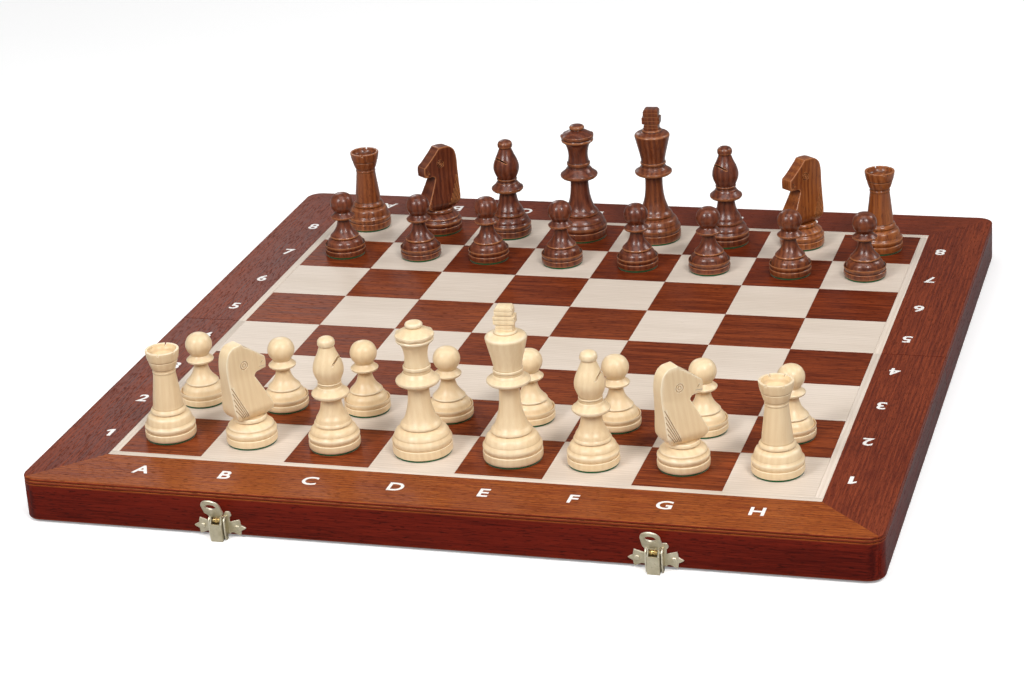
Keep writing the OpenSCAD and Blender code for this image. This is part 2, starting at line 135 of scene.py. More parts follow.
def make_wood_figure():
    """Growth rings, fibres and open pores. The vector's X runs along the grain, in metres."""
    tree, given, out = shader_group("Wood figure", [
        ("Where", "Vector", None), ("Rings", "Float", 160.0), ("Ring Depth", "Float", 0.5),
        ("Wander", "Float", 3.0), ("Fibres", "Float", 900.0), ("Fibre Depth", "Float", 0.5),
        ("Pores", "Float", 1500.0), ("Pore Cut", "Float", 0.62)], ["Tone", "Pore", "Height"])
    where = given["Where"]
    slow = vector_calc(tree, "MULTIPLY", where, (0.16, 1.0, 1.0))
    wave = put(tree, "ShaderNodeTexWave",
               {"Vector": slow, "Scale": given["Rings"], "Distortion": given["Wander"],
                "Detail": 2.0, "Detail Scale": 0.35, "Detail Roughness": 0.55},
               wave_type="BANDS", bands_direction="Y").outputs["Fac"]
    fine = vector_calc(tree, "MULTIPLY", where, (0.035, 1.0, 1.0))
    fibre = noise(tree, fine, given["Fibres"], 3.0, 0.6)
    drift = noise(tree, slow, 34.0, 2.0)
    short = vector_calc(tree, "MULTIPLY", where, (0.13, 1.0, 1.0))
    grit = noise(tree, short, given["Pores"], 1.5, 0.5)
    pore = stepped(tree, grit, given["Pore Cut"], calc(tree, "ADD", given["Pore Cut"], 0.07))
    tone = calc(tree, "ADD", 0.5, calc(tree, "MULTIPLY", given["Ring Depth"],
                calc(tree, "SUBTRACT", wave, 0.5)))
    tone = calc(tree, "MULTIPLY_ADD", calc(tree, "SUBTRACT", fibre, 0.5),
                calc(tree, "MULTIPLY", given["Fibre Depth"], 2.0), tone)
    tone = calc(tree, "MULTIPLY_ADD", calc(tree, "SUBTRACT", drift, 0.5), 0.7, tone)
    height = calc(tree, "SUBTRACT", calc(tree, "MULTIPLY", fibre, 0.5), pore)
    answer(tree, out, Tone=stepped(tree, tone, 0.0, 1.0), Pore=pore, Height=height)
    return tree


def make_edge_wear_and_shade():
    """Where hands rub a finish off corners, with a painted highlight on those edges too, and
    painted shade darkening grooves and hollows.
    """
    tree, given, out = shader_group("Edge wear and painted light", [
        ("Edge", "Float", 0.0), ("Where", "Vector", None), ("Patchy", "Float", 90.0)],
        ["Rubbed", "Hollow"])
    patch = noise(tree, given["Where"], given["Patchy"], 3.0, 0.6)
    lift = calc(tree, "ADD", given["Edge"], calc(tree, "MULTIPLY",
                calc(tree, "SUBTRACT", patch, 0.5), 0.35))
    # The first output lightens convex edges, part worn finish and part painted highlight; the
    # second darkens concave turns with painted shade.
    answer(tree, out, Rubbed=stepped(tree, lift, 0.16, 0.6),
           Hollow=stepped(tree, calc(tree, "MULTIPLY", given["Edge"], -1.0), 0.08, 0.6))
    return tree


def make_felt_nap():
    """Short matted fibres of pressed felt."""
    tree, given, out = shader_group("Felt nap", [
        ("Where", "Vector", None), ("Fibre", "Float", 2600.0)], ["Tone", "Height"])
    clump = noise(tree, given["Where"], 260.0, 3.0, 0.6)
    hair = noise(tree, given["Where"], given["Fibre"], 2.0, 0.7, 1.5)
    answer(tree, out, Tone=calc(tree, "ADD", calc(tree, "MULTIPLY", clump, 0.6),
           calc(tree, "MULTIPLY", hair, 0.4)), Height=hair)
    return tree


def make_metal_handling():
    """Dull patches, small spots and rolling lines on thin plated sheet."""
    tree, given, out = shader_group("Metal handling", [
        ("Where", "Vector", None), ("Spots", "Float", 700.0)], ["Dull", "Spot", "Height"])
    dull = noise(tree, given["Where"], 120.0, 3.0, 0.6)
    spot = stepped(tree, noise(tree, given["Where"], given["Spots"], 2.0), 0.63, 0.72)
    rolled = noise(tree, vector_calc(tree, "MULTIPLY", given["Where"], (0.08, 1.0, 1.0)), 3000.0)
    answer(tree, out, Dull=stepped(tree, dull, 0.3, 0.75), Spot=spot,
           Height=calc(tree, "SUBTRACT", calc(tree, "MULTIPLY", rolled, 0.4), spot))
    return tree


WOOD_FIGURE = make_wood_figure()
EDGE_WEAR_AND_SHADE = make_edge_wear_and_shade()
FELT_NAP = make_felt_nap()
METAL_HANDLING = make_metal_handling()


# ---- materials ----

def new_material(name, **surface):
    material = bpy.data.materials.new(name)
    material.use_nodes = True
    tree = material.node_tree
    shader = tree.nodes["Principled BSDF"]
    for label, value in surface.items():
        shader.inputs[label.replace("_", " ")].default_value = value
    return material, tree, shader


def grouped(tree, group, inputs):
    return put(tree, "ShaderNodeGroup", inputs, node_tree=group).outputs


def bumped(tree, height, strength, distance):
    return put(tree, "ShaderNodeBump", {"Strength": strength, "Distance": distance * MM,
                                        "Height": height}).outputs[0]


def object_place(tree):
    return put(tree, "ShaderNodeTexCoord").outputs["Object"]


def reading(tree, name, output="Vector"):
    return put(tree, "ShaderNodeAttribute", attribute_name=name).outputs[output]


def wood(name, dark, light, pore, figure, gloss, bump=0.25, wear_and_highlight=None, hollow=None,
         tinted=None, pore_depth=0.6, **surface):
    """A finished wood: dark and light set the figure's ends, gloss is (low, high) roughness."""
    material, tree, shader = new_material(name, **surface)
    where = reading(tree, "grain")
    grain = grouped(tree, WOOD_FIGURE, {"Where": where, **figure})
    colour = mixed(tree, grain["Tone"], rgb(dark), rgb(light))
    if tinted:
        colour = mixed(tree, reading(tree, "tint", "Fac"), colour, mixed(
            tree, grain["Tone"], rgb(tinted[0]), rgb(tinted[1])))
    colour = mixed(tree, calc(tree, "MULTIPLY", grain["Pore"], pore_depth), colour, rgb(pore))
    if wear_and_highlight or hollow:
        edge = grouped(tree, EDGE_WEAR_AND_SHADE, {"Edge": reading(tree, "edge", "Fac"),
                                             "Where": where})
        # Painted shade: the hollow colour darkens grooves and hollows; the edge colour then
        # lightens convex edges, part wear and part painted highlight.
        colour = mixed(tree, calc(tree, "MULTIPLY", edge["Hollow"], 0.75), colour, rgb(hollow))
        colour = mixed(tree, calc(tree, "MULTIPLY", edge["Rubbed"], 0.7), colour, rgb(wear_and_highlight))
    rough = calc(tree, "MULTIPLY_ADD", grain["Tone"], gloss[1] - gloss[0], gloss[0])
    rough = calc(tree, "MULTIPLY_ADD", grain["Pore"], 0.15, rough)
    answer(tree, shader, Base_Color=colour, Roughness=rough,
           Normal=bumped(tree, grain["Height"], bump, 0.1))
    return material


def felt(name, dark, light):
    material, tree, shader = new_material(name, Roughness=0.95, Sheen_Weight=0.5,
                                          Sheen_Roughness=0.5, Specular_IOR_Level=0.15)
    nap = grouped(tree, FELT_NAP, {"Where": object_place(tree)})
    answer(tree, shader, Base_Color=mixed(tree, nap["Tone"], rgb(dark), rgb(light)),
           Normal=bumped(tree, nap["Height"], 0.7, 0.25))
    return material


def plated(name, dark, light, wear_and_highlight, gloss):
    material, tree, shader = new_material(name, Metallic=0.8)
    where = object_place(tree)
    metal = grouped(tree, METAL_HANDLING, {"Where": where})
    edge = grouped(tree, EDGE_WEAR_AND_SHADE, {"Edge": reading(tree, "edge", "Fac"), "Where": where,
                                         "Patchy": 400.0})
    colour = mixed(tree, metal["Dull"], rgb(light), rgb(dark))
    colour = mixed(tree, calc(tree, "MULTIPLY", metal["Spot"], 0.5), colour, rgb(dark))
    colour = mixed(tree, calc(tree, "MULTIPLY", edge["Rubbed"], 0.8), colour, rgb(wear_and_highlight))
    rough = calc(tree, "MULTIPLY_ADD", metal["Dull"], gloss[1] - gloss[0], gloss[0])
    answer(tree, shader, Base_Color=colour, Normal=bumped(tree, metal["Height"], 0.25, 0.05),
           Roughness=calc(tree, "MULTIPLY_ADD", metal["Spot"], 0.2, rough))
    return material


def printed(name, colour, worn):
    """Screen-printed paint, a little thin in places."""
    material, tree, shader = new_material(name, Roughness=0.45)
    thin = stepped(tree, noise(tree, object_place(tree), 1800.0, 3.0, 0.6), 0.5, 0.75)
    answer(tree, shader, Base_Color=mixed(tree, calc(tree, "MULTIPLY", thin, 0.35), rgb(colour),
                                          rgb(worn)))
    return material


def paper_floor():
    """White to the eye, and a softer grey to the light that it throws back."""
    material, tree, shader = new_material("pale_backdrop", Roughness=0.95,
                                          Specular_IOR_Level=0.0, Emission_Strength=1.0)
    seen = put(tree, "ShaderNodeLightPath").outputs["Is Camera Ray"]
    paper = mixed(tree, noise(tree, object_place(tree), 3.0, 2.0), rgb("fbfbfb"), rgb("ffffff"))
    answer(tree, shader, Base_Color=mixed(tree, seen, rgb("b4b4b4"), paper),
           Emission_Color=mixed(tree, seen, rgb("000000"), rgb("8c8c8c")))
    return material


VENEER = {"Rings": 120.0, "Ring Depth": 0.2, "Wander": 2.5, "Fibres": 1100.0}
TURNED = {"Rings": 90.0, "Wander": 5.0, "Fibres": 900.0}
# The rubbed colours below paint lighter edges, part wear and part painted highlight; the hollow
# colours are painted shade in grooves.
PALE_WOOD = wood("lacquered_maple", "e6c89b", "f6dfb8", "cba271",
                 {**TURNED, "Ring Depth": 0.15, "Fibre Depth": 0.3, "Pore Cut": 0.7},
                 (0.3, 0.4), bump=0.08, wear_and_highlight="f8eace", hollow="b28a58", pore_depth=0.2,
                 Coat_Weight=0.2, Coat_Roughness=0.25, Specular_IOR_Level=0.4)
STAINED_WOOD = wood("lacquered_stained_wood", "481a0d", "824225", "2a0e07",
                    {**TURNED, "Ring Depth": 0.3, "Fibre Depth": 0.55, "Pore Cut": 0.62},
                    (0.28, 0.4), bump=0.2, wear_and_highlight="bd7a4a", hollow="1f0a05",
                    tinted=("6c2f10", "a9612a"), Coat_Weight=0.4, Coat_Roughness=0.16,
                    Specular_IOR_Level=0.4)
# The tinted pair is the lighter, more orange look that a painted sheen gives the dark squares
# towards the front and left.
DARK_VENEER = wood("dark_squares_veneer", "4c1507", "84381a", "320d05",
                   {**VENEER, "Fibres": 800.0, "Fibre Depth": 1.2, "Pore Cut": 0.6}, (0.36, 0.46),
                   tinted=("62240c", "994d26"), Coat_Weight=0.0, Specular_IOR_Level=0.1)
LIGHT_VENEER = wood("light_squares_veneer", "cfbfae", "e6d8ca", "bca68c",
                    {**VENEER, "Fibre Depth": 0.45, "Pore Cut": 0.68}, (0.38, 0.48),
                    bump=0.1, pore_depth=0.25, Coat_Weight=0.0, Specular_IOR_Level=0.18)
# Painted sheen: the main colours are the lighter, sheen-lit look of the front strip; the tinted
# pair is the same veneer without it, on the other strips.
BORDER_VENEER = wood("border_veneer", "742d0d", "a45723", "4e1c0a",
                     {**VENEER, "Fibre Depth": 0.9, "Pores": 1700.0, "Pore Cut": 0.56},
                     (0.36, 0.48), bump=0.4, tinted=("521a10", "823722"), pore_depth=0.6,
                     Specular_IOR_Level=0.14)
RAIL_WOOD = wood("rail_mahogany", "450b05", "741f10", "280703",
                 {**VENEER, "Ring Depth": 0.35, "Fibre Depth": 0.75, "Pore Cut": 0.6},
                 (0.32, 0.44), bump=0.2, wear_and_highlight="8a3c22", hollow="180502",
                 Specular_IOR_Level=0.1)
PLYWOOD = wood("raw_plywood", "8f6238", "c79c66", "6d4524",
               {**VENEER, "Rings": 640.0, "Ring Depth": 0.8}, (0.6, 0.75), pore_depth=0.4)
GREEN_FELT = felt("green_felt", "0a4020", "196c3b")
PALE_BRASS = plated("pale_brass", "c2b794", "e6dcc0", "fbf4de", (0.34, 0.5))
SPRING_BRASS = plated("spring_brass", "b07a28", "edbb55", "f8e0a0", (0.2, 0.34))
WHITE_PRINT = printed("white_print", "f4f2ee", "c9b3a4")


# ---- mesh helpers ----

def show(name, mesh, *materials):
    obj = bpy.data.objects.new(name, mesh)
    bpy.context.scene.collection.objects.link(obj)
    if materials:
        mesh.materials.clear()
    for material in materials:
        mesh.materials.append(material)
    return obj


def mesh_of(points, faces=(), edges=()):
    mesh = bpy.data.meshes.new("part")
    mesh.from_pydata([tuple(p) for p in points], edges, faces)
    return mesh


def skin(rows, ends_first=False):
    """A closed skin over rows of points, every row a loop, with both ends filled."""
    count = len(rows[0])
    points = [p for row in rows for p in row]
    sides = [(r * count + k, r * count + (k + 1) % count, (r + 1) * count + (k + 1) % count,
              (r + 1) * count + k) for r in range(len(rows) - 1) for k in range(count)]
    ends = [tuple(range(count)), tuple(range(len(points) - count, len(points)))]
    return mesh_of(points, ends + sides if ends_first else sides + ends)


def opened(*meshes):
    work = bmesh.new()
    for mesh in meshes:
        work.from_mesh(mesh)
    return work


def closed_up(work, mesh=None):
    """Writes the work into the mesh, or into a new one."""
    mesh = mesh or bpy.data.meshes.new("part")
    work.to_mesh(mesh)
    work.free()
    return mesh


def tidied(mesh, merge=1e-6):
    """Closes seams and poles, unless merge is 0, and turns every face outwards."""
    work = opened(mesh)
    if merge:
        bmesh.ops.remove_doubles(work, verts=work.verts, dist=merge)
        bmesh.ops.dissolve_degenerate(work, edges=work.edges, dist=merge)
    bmesh.ops.recalc_face_normals(work, faces=work.faces)
    return closed_up(work, mesh)


def joined(*meshes):
    return closed_up(opened(*meshes))


def settle(obj):
    """Turns what an object's modifiers make into its own plain mesh."""
    bpy.context.view_layer.update()
    graph = bpy.context.evaluated_depsgraph_get()
    mesh = bpy.data.meshes.new_from_object(obj.evaluated_get(graph),
                                           preserve_all_data_layers=True, depsgraph=graph)
    obj.modifiers.clear()
    obj.data = mesh
    return mesh


def drop(*objects):
    for obj in objects:
        bpy.data.objects.remove(obj)


def cut(mesh, *tools):
    """The mesh with the tools' shapes cut out of it."""
    body, tool = show("cut_body", mesh), show("cut_tool", joined(*tools))
    modifier = body.modifiers.new("cut", "BOOLEAN")
    modifier.operation, modifier.solver, modifier.object = "DIFFERENCE", "EXACT", tool
    result = settle(body)
    drop(body, tool)
    return tidied(result)


def softened(mesh, width, segments=2, angle=38):
    """The mesh with its edges broken, as a sanded or tumbled part has them."""
    body = show("soft_body", mesh)
    modifier = body.modifiers.new("bevel", "BEVEL")
    modifier.width, modifier.segments, modifier.limit_method = width, segments, "ANGLE"
    modifier.angle_limit, modifier.harden_normals = math.radians(angle), False
    result = settle(body)
    drop(body)
    return result


def cad_work(node):
    """A CAD node opened for work, its solids' points merged."""
    work = opened(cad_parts[node].data)
    bmesh.ops.remove_doubles(work, verts=work.verts, dist=2e-6)
    return work


def islands(work):
    """The separate solids of a mesh being worked on, as lists of vertices."""
    left, found = set(work.verts), []
    for first in work.verts:
        if first not in left:
            continue
        left.discard(first)
        queue, group = [first], []
        while queue:
            vert = queue.pop()
            group.append(vert)
            for edge in vert.link_edges:
                other = edge.other_vert(vert)
                if other in left:
                    left.discard(other)
                    queue.append(other)
        found.append(group)
    return sorted(found, key=lambda g: tuple(round(x, 5) for x in g[0].co))


def box_of(group):
    co = np.array([v.co for v in group])
    return co.min(0), co.max(0)


def from_cad(node, width, keep=None):
    """A CAD node with its edges broken by width mm; keep(low, high) picks solids by their boxes."""
    work = cad_work(node)
    bmesh.ops.dissolve_limit(work, angle_limit=math.radians(1.0), verts=work.verts,
                             edges=work.edges)
    if keep:
        for island in islands(work):
            if not keep(*box_of(island)):
                bmesh.ops.delete(work, geom=island, context="VERTS")
    return softened(closed_up(work), width * MM)


def box_mesh(low, high):
    x0, y0, z0 = low
    x1, y1, z1 = high
    points = [(x, y, z) for x in (x0, x1) for y in (y0, y1) for z in (z0, z1)]
    faces = [(0, 1, 3, 2), (4, 6, 7, 5), (0, 4, 5, 1), (2, 3, 7, 6), (0, 2, 6, 4), (1, 5, 7, 3)]
    return tidied(mesh_of(points, faces))


def set_values(mesh, name, kind, values):
    attribute = mesh.attributes.new(name, kind, "POINT")
    attribute.data.foreach_set("vector" if kind == "FLOAT_VECTOR" else "value",
                               np.asarray(values, np.float32).ravel())


def points_of(mesh):
    co = np.empty(len(mesh.vertices) * 3, np.float32)
    mesh.vertices.foreach_get("co", co)
    return co.reshape(-1, 3).astype(float)


NARROW_FACE = 1.3 * MM                       # faces wider than this stay unmarked
FULL_TURN = 0.8                              # radians that count as a full edge


def mark_edges(mesh):
    """Stores how sharply the surface turns: above 0 out, below 0 in, 0 on open flats."""
    work = opened(mesh)
    work.verts.index_update()
    sharpest = [0.0] * len(work.verts)
    for edge in work.edges:
        if len(edge.link_faces) == 2:
            turn = edge.calc_face_angle_signed(0.0)
            for vert in edge.verts:
                if abs(turn) > abs(sharpest[vert.index]):
                    sharpest[vert.index] = turn
    values = []
    for face in work.faces:
        longest = max(edge.calc_length() for edge in face.edges)
        narrow = face.calc_area() < NARROW_FACE * longest
        values += [sharpest[vert.index] if narrow else 0.0 for vert in face.verts]
    work.free()
    values = np.clip(np.array(values) / FULL_TURN, -1, 1)
    mesh.attributes.new("edge", "FLOAT", "CORNER").data.foreach_set(
        "value", values.astype(np.float32))
    return mesh


def shade(mesh, angle=35):
    mesh.shade_smooth()
    mesh.set_sharp_from_angle(angle=math.radians(angle))
    return mesh


def grained(mesh, seed, along="x", per_solid=True, tint=None):
    """Stores each point's place in its own piece of timber, X along the grain."""
    order = {"x": (0, 1, 2), "y": (1, 0, 2), "z": (2, 0, 1)}
    co = points_of(mesh)
    places = np.empty_like(co)
    tints = np.zeros(len(co))
    work = opened(mesh)
    work.verts.index_update()
    dice = random.Random(seed)
    groups = [[v.index for v in g] for g in islands(work)] if per_solid else [range(len(co))]
    work.free()
    for group in groups:
        idx = np.array(list(group))
        part = co[idx]
        size = part.max(0) - part.min(0)
        way = along if along != "longest" else ("x" if size[0] >= size[1] else "y")
        shift = [dice.uniform(-5, 5) for _ in range(3)]
        places[idx] = part[:, order[way]] + shift
        tints[idx] = tint(part.mean(0), dice) if tint else 0.0
    set_values(mesh, "grain", "FLOAT_VECTOR", places)
    set_values(mesh, "tint", "FLOAT", tints)
    return mesh


def extruded(outline, depth, place=Matrix(), ease=0.0):
    """A flat outline in X and Z given a thickness along Y, with its front edge eased."""
    line = np.asarray(outline, float)
    after, before = np.roll(line, -1, 0), np.roll(line, 1, 0)
    run = after - before
    run /= np.linalg.norm(run, axis=1)[:, None] + 1e-12
    area = 0.5 * np.sum(line[:, 0] * after[:, 1] - after[:, 0] * line[:, 1])
    inward = np.stack([-run[:, 1], run[:, 0]], 1) * (1 if area > 0 else -1)
    rings = [(line, 0.0), (line, depth - ease)]
    if ease:
        rings.append((line + inward * ease, depth))
    mesh = tidied(skin([[(x, y, z) for x, z in ring] for ring, y in rings], True), 1e-7)
    mesh.transform(place)
    return tidied(mesh, 1e-7)


# ---- lines ----

def smooth_line(rows, step, closed=False):
    """A line through the rows. Each row ends in 1 where the line turns crisply, else 0."""
    data = np.array([row[:-1] for row in rows], float)
    crisp = [bool(row[-1]) for row in rows]
    count = len(rows)
    if not closed:
        crisp[0] = crisp[-1] = True
    length = np.linalg.norm((np.roll(data, -1, 0) - data)[:, :2], axis=1)
    line, flags = [], []
    for i in range(count if closed else count - 1):
        j, before, after = (i + 1) % count, (i - 1) % count, (i + 2) % count
        span, reach = data[j] - data[i], length[i]
        start = (data[j] - data[before]) / (length[before] + reach) * reach
        end = (data[after] - data[i]) / (length[j] + reach) * reach
        if crisp[i] and crisp[j]:
            start = end = span
        elif crisp[i]:
            start = 1.5 * span - 0.5 * end
        elif crisp[j]:
            end = 1.5 * span - 0.5 * start
        parts = 1 if crisp[i] and crisp[j] else max(2, math.ceil(reach / step))
        for k in range(parts):
            t = k / parts
            line.append((2 * t**3 - 3 * t**2 + 1) * data[i] + (t**3 - 2 * t**2 + t) * start
                        + (3 * t**2 - 2 * t**3) * data[j] + (t**3 - t**2) * end)
            flags.append(crisp[i] and k == 0)
    if not closed:
        line.append(data[-1])
        flags.append(True)
    return np.array(line), flags


def eased(line, flags, ease, closed=False):
    """The line with each crisp turn rounded a little, as sandpaper leaves it."""
    count, out = len(line), []
    for i, point in enumerate(line):
        if not flags[i] or (not closed and i in (0, count - 1)):
            out.append(point)
            continue
        ends = []
        for other in (line[i - 1], line[(i + 1) % count]):
            way = other - point
            reach = np.linalg.norm(way[:2])
            ends.append(point + way / max(reach, 1e-9) * min(ease, 0.4 * reach))
        out += [ends[0], 0.5 * point + 0.25 * (ends[0] + ends[1]), ends[1]]
    return np.array(out)


# ---- geometry node trees ----

def geometry_tree(name, sockets):
    tree = bpy.data.node_groups.new(name, "GeometryNodeTree")
    for label, kind, value in [("Geometry", "Geometry", None)] + sockets + [
            ("Finish", "Material", None)]:
        socket = tree.interface.new_socket(label, in_out="INPUT", socket_type="NodeSocket" + kind)
        if value is not None:
            socket.default_value = value
    tree.interface.new_socket("Geometry", in_out="OUTPUT", socket_type="NodeSocketGeometry")
    return tree, tree.nodes.new("NodeGroupInput").outputs


def close_tree(tree, geometry, given):
    real = put(tree, "GeometryNodeRealizeInstances", {"Geometry": geometry}).outputs[0]
    done = put(tree, "GeometryNodeSetMaterial", {"Geometry": real, "Material": given["Finish"]})
    tree.links.new(done.outputs[0], tree.nodes.new("NodeGroupOutput").inputs[0])
    return tree


def grown(tree, name, finish, values, marks=()):
    """Runs a tree on an object and returns the plain mesh that it makes."""
    obj = show(name, mesh_of(marks))
    modifier = obj.modifiers.new("grow", "NODES")
    modifier.node_group = tree
    names = {item.name: item.identifier for item in tree.interface.items_tree
             if item.in_out == "INPUT"}
    for label, value in {**values, "Finish": finish}.items():
        modifier[names[label]] = value
    mesh = settle(obj)
    drop(obj)
    return mesh


def make_turning_tree():
    """A turned shape: the profile's points, X out and Z up, carried round the Z axis."""
    tree, given = geometry_tree("Turning", [
        ("Profile", "Object", None), ("Rings", "Int", 100), ("Segments", "Int", 72)])
    sheet = put(tree, "GeometryNodeMeshGrid", {
        "Size X": 1.0, "Size Y": 1.0, "Vertices X": calc(tree, "ADD", given["Segments"], 1.0),
        "Vertices Y": given["Rings"]}).outputs[0]
    place = put(tree, "ShaderNodeSeparateXYZ",
                {0: put(tree, "GeometryNodeInputPosition").outputs[0]}).outputs
    ring = calc(tree, "MULTIPLY", calc(tree, "ADD", place["Y"], 0.5),
                calc(tree, "SUBTRACT", given["Rings"], 1.0))
    profile = put(tree, "GeometryNodeObjectInfo", {"Object": given["Profile"]}).outputs
    row = put(tree, "GeometryNodeSampleIndex",
              {"Geometry": profile["Geometry"], "Index": calc(tree, "ROUND", ring),
               "Value": put(tree, "GeometryNodeInputPosition").outputs[0]},
              data_type="FLOAT_VECTOR", domain="POINT").outputs[0]
    row = put(tree, "ShaderNodeSeparateXYZ", {0: row}).outputs
    angle = calc(tree, "MULTIPLY", calc(tree, "ADD", place["X"], 0.5), 2 * math.pi)
    spot = put(tree, "ShaderNodeCombineXYZ", {
        "X": calc(tree, "MULTIPLY", row["X"], calc(tree, "COSINE", angle)),
        "Y": calc(tree, "MULTIPLY", row["X"], calc(tree, "SINE", angle)), "Z": row["Z"]})
    shaped = put(tree, "GeometryNodeSetPosition", {"Geometry": sheet, "Position":
                 spot.outputs[0]}).outputs[0]
    closed = put(tree, "GeometryNodeMergeByDistance", {"Geometry": shaped, "Distance": 1e-6})
    return close_tree(tree, closed.outputs[0], given)


def make_chequer_tree():
    """One colour of a chequered field: a tile on every second point of a grid."""
    tree, given = geometry_tree("Chequer", [
        ("Tile", "Object", None), ("Size", "Float", 0.05), ("Files", "Int", 8),
        ("Ranks", "Int", 4), ("Parity", "Int", 0), ("Centre", "Vector", None)])
    spans = {}
    for label, count in (("X", given["Files"]), ("Y", given["Ranks"])):
        spans[label] = calc(tree, "SUBTRACT", count, 1.0)
    grid = put(tree, "GeometryNodeMeshGrid", {
        "Size X": calc(tree, "MULTIPLY", spans["X"], given["Size"]), "Vertices X": given["Files"],
        "Size Y": calc(tree, "MULTIPLY", spans["Y"], given["Size"]),
        "Vertices Y": given["Ranks"]}).outputs[0]
    place = put(tree, "ShaderNodeSeparateXYZ",
                {0: put(tree, "GeometryNodeInputPosition").outputs[0]}).outputs
    steps = [calc(tree, "ROUND", calc(tree, "ADD", calc(tree, "DIVIDE", place[k], given["Size"]),
             calc(tree, "MULTIPLY", spans[k], 0.5))) for k in ("X", "Y")]
    odd = calc(tree, "MODULO", calc(tree, "ADD", *steps), 2.0)
    chosen = put(tree, "FunctionNodeCompare", {0: odd, 1: given["Parity"], "Epsilon": 0.1},
                 data_type="FLOAT", operation="EQUAL")
    tile = put(tree, "GeometryNodeObjectInfo", {"Object": given["Tile"]}).outputs["Geometry"]
    laid = put(tree, "GeometryNodeInstanceOnPoints", {
        "Points": grid, "Selection": chosen.outputs[0], "Instance": tile}).outputs[0]
    shifted = put(tree, "GeometryNodeTransform", {"Geometry": laid, "Translation":
                  given["Centre"]}).outputs[0]
    return close_tree(tree, shifted, given)


def make_marks_tree():
    """A fastener at each mark, its own axis turned as given and spun by a seeded amount."""
    tree, given = geometry_tree("Set at marks", [
        ("Item", "Object", None), ("Turn", "Vector", None), ("Seed", "Int", 3)])
    item = put(tree, "GeometryNodeObjectInfo", {"Object": given["Item"]}).outputs["Geometry"]
    turn = put(tree, "FunctionNodeEulerToRotation", {0: given["Turn"]}).outputs[0]
    placed = put(tree, "GeometryNodeInstanceOnPoints", {
        "Points": given["Geometry"], "Instance": item, "Rotation": turn}).outputs[0]
    spin = put(tree, "FunctionNodeRandomValue", {2: 0.0, 3: 2 * math.pi, "Seed": given["Seed"]},
               data_type="FLOAT")
    spun = put(tree, "GeometryNodeRotateInstances", {
        "Instances": placed, "Rotation": put(tree, "ShaderNodeCombineXYZ", {
            "Z": spin.outputs[1]}).outputs[0]}).outputs[0]
    return close_tree(tree, spun, given)


def make_spring_tree():
    """A coil of round wire about its own axis."""
    tree, given = geometry_tree("Spring", [
        ("Coil Radius", "Float", 0.0014), ("Wire Radius", "Float", 0.00025),
        ("Length", "Float", 0.004), ("Turns", "Float", 6.0)])
    path = put(tree, "GeometryNodeCurveSpiral", {
        "Resolution": 20, "Rotations": given["Turns"], "Start Radius": given["Coil Radius"],
        "End Radius": given["Coil Radius"], "Height": given["Length"]}).outputs[0]
    ring = put(tree, "GeometryNodeCurvePrimitiveCircle", {
        "Resolution": 8, "Radius": given["Wire Radius"]}).outputs[0]
    wire = put(tree, "GeometryNodeCurveToMesh", {"Curve": path, "Profile Curve": ring,
                                                 "Fill Caps": True}).outputs[0]
    centred = put(tree, "GeometryNodeTransform", {"Geometry": wire, "Translation":
                  put(tree, "ShaderNodeCombineXYZ", {"Z": calc(tree, "MULTIPLY",
                      given["Length"], -0.5)}).outputs[0]}).outputs[0]
    return close_tree(tree, centred, given)


TURNING = make_turning_tree()
CHEQUER = make_chequer_tree()
SET_AT_MARKS = make_marks_tree()
SPRING = make_spring_tree()


def turned(rows, segments=72, step=0.8, ease=0.22, finish=PALE_WOOD):
    """A turned mesh from a profile in millimetres."""
    line = eased(*smooth_line(rows, step), ease)
    profile = show("profile", mesh_of([(max(r, 0) * MM, 0, z * MM) for r, z in line]))
    mesh = grown(TURNING, "turned", finish, {"Profile": profile, "Rings": len(line),
                                     "Segments": segments})
    drop(profile)
    return tidied(mesh)


def set_at(item, marks, turn=(0, 0, 0), seed=3, finish=PALE_BRASS):
    stock = show("stock", item)
    mesh = grown(SET_AT_MARKS, "set", finish, {"Item": stock, "Turn": turn, "Seed": seed}, marks)
    drop(stock)
    return tidied(mesh, 1e-7)


# ---- chess pieces: profiles as distance from the axis, height, and 1 where it is crisp ----

def base_rows(r, low, band):
    return [(0, .92, 1), (r - .8, .92, 1), (r - .15, 1.6, 0), (r, .5 * low + .4, 0),
            (r - .1, low - .2, 1), (r - .75, low + .15, 1), (r - .5, low + .7, 0),
            (r - .1, low + 1.9, 0), (r - .2, low + 3.1, 0), (r - .95, band + 1, 0),
            (r - 1.45, band + 1.9, 0), (r - 1.6, band + 2.7, 0)]


def neck_rows(r, neck_r, neck_z):
    return [(.5 * (r + neck_r) - .3, neck_z - 1.7, 0), (neck_r + .3, neck_z - .45, 0),
            (neck_r - .6, neck_z + .05, 1), (neck_r + .25, neck_z + .35, 1),
            (neck_r + .38, neck_z + 1, 0), (neck_r + .1, neck_z + 1.8, 0),
            (neck_r - .5, neck_z + 2.6, 0)]


def officer(rest, neck_r, neck_z, r=14.7, low=5.4, band=8.4):
    return base_rows(r, low, band) + neck_rows(r, neck_r, neck_z) + rest


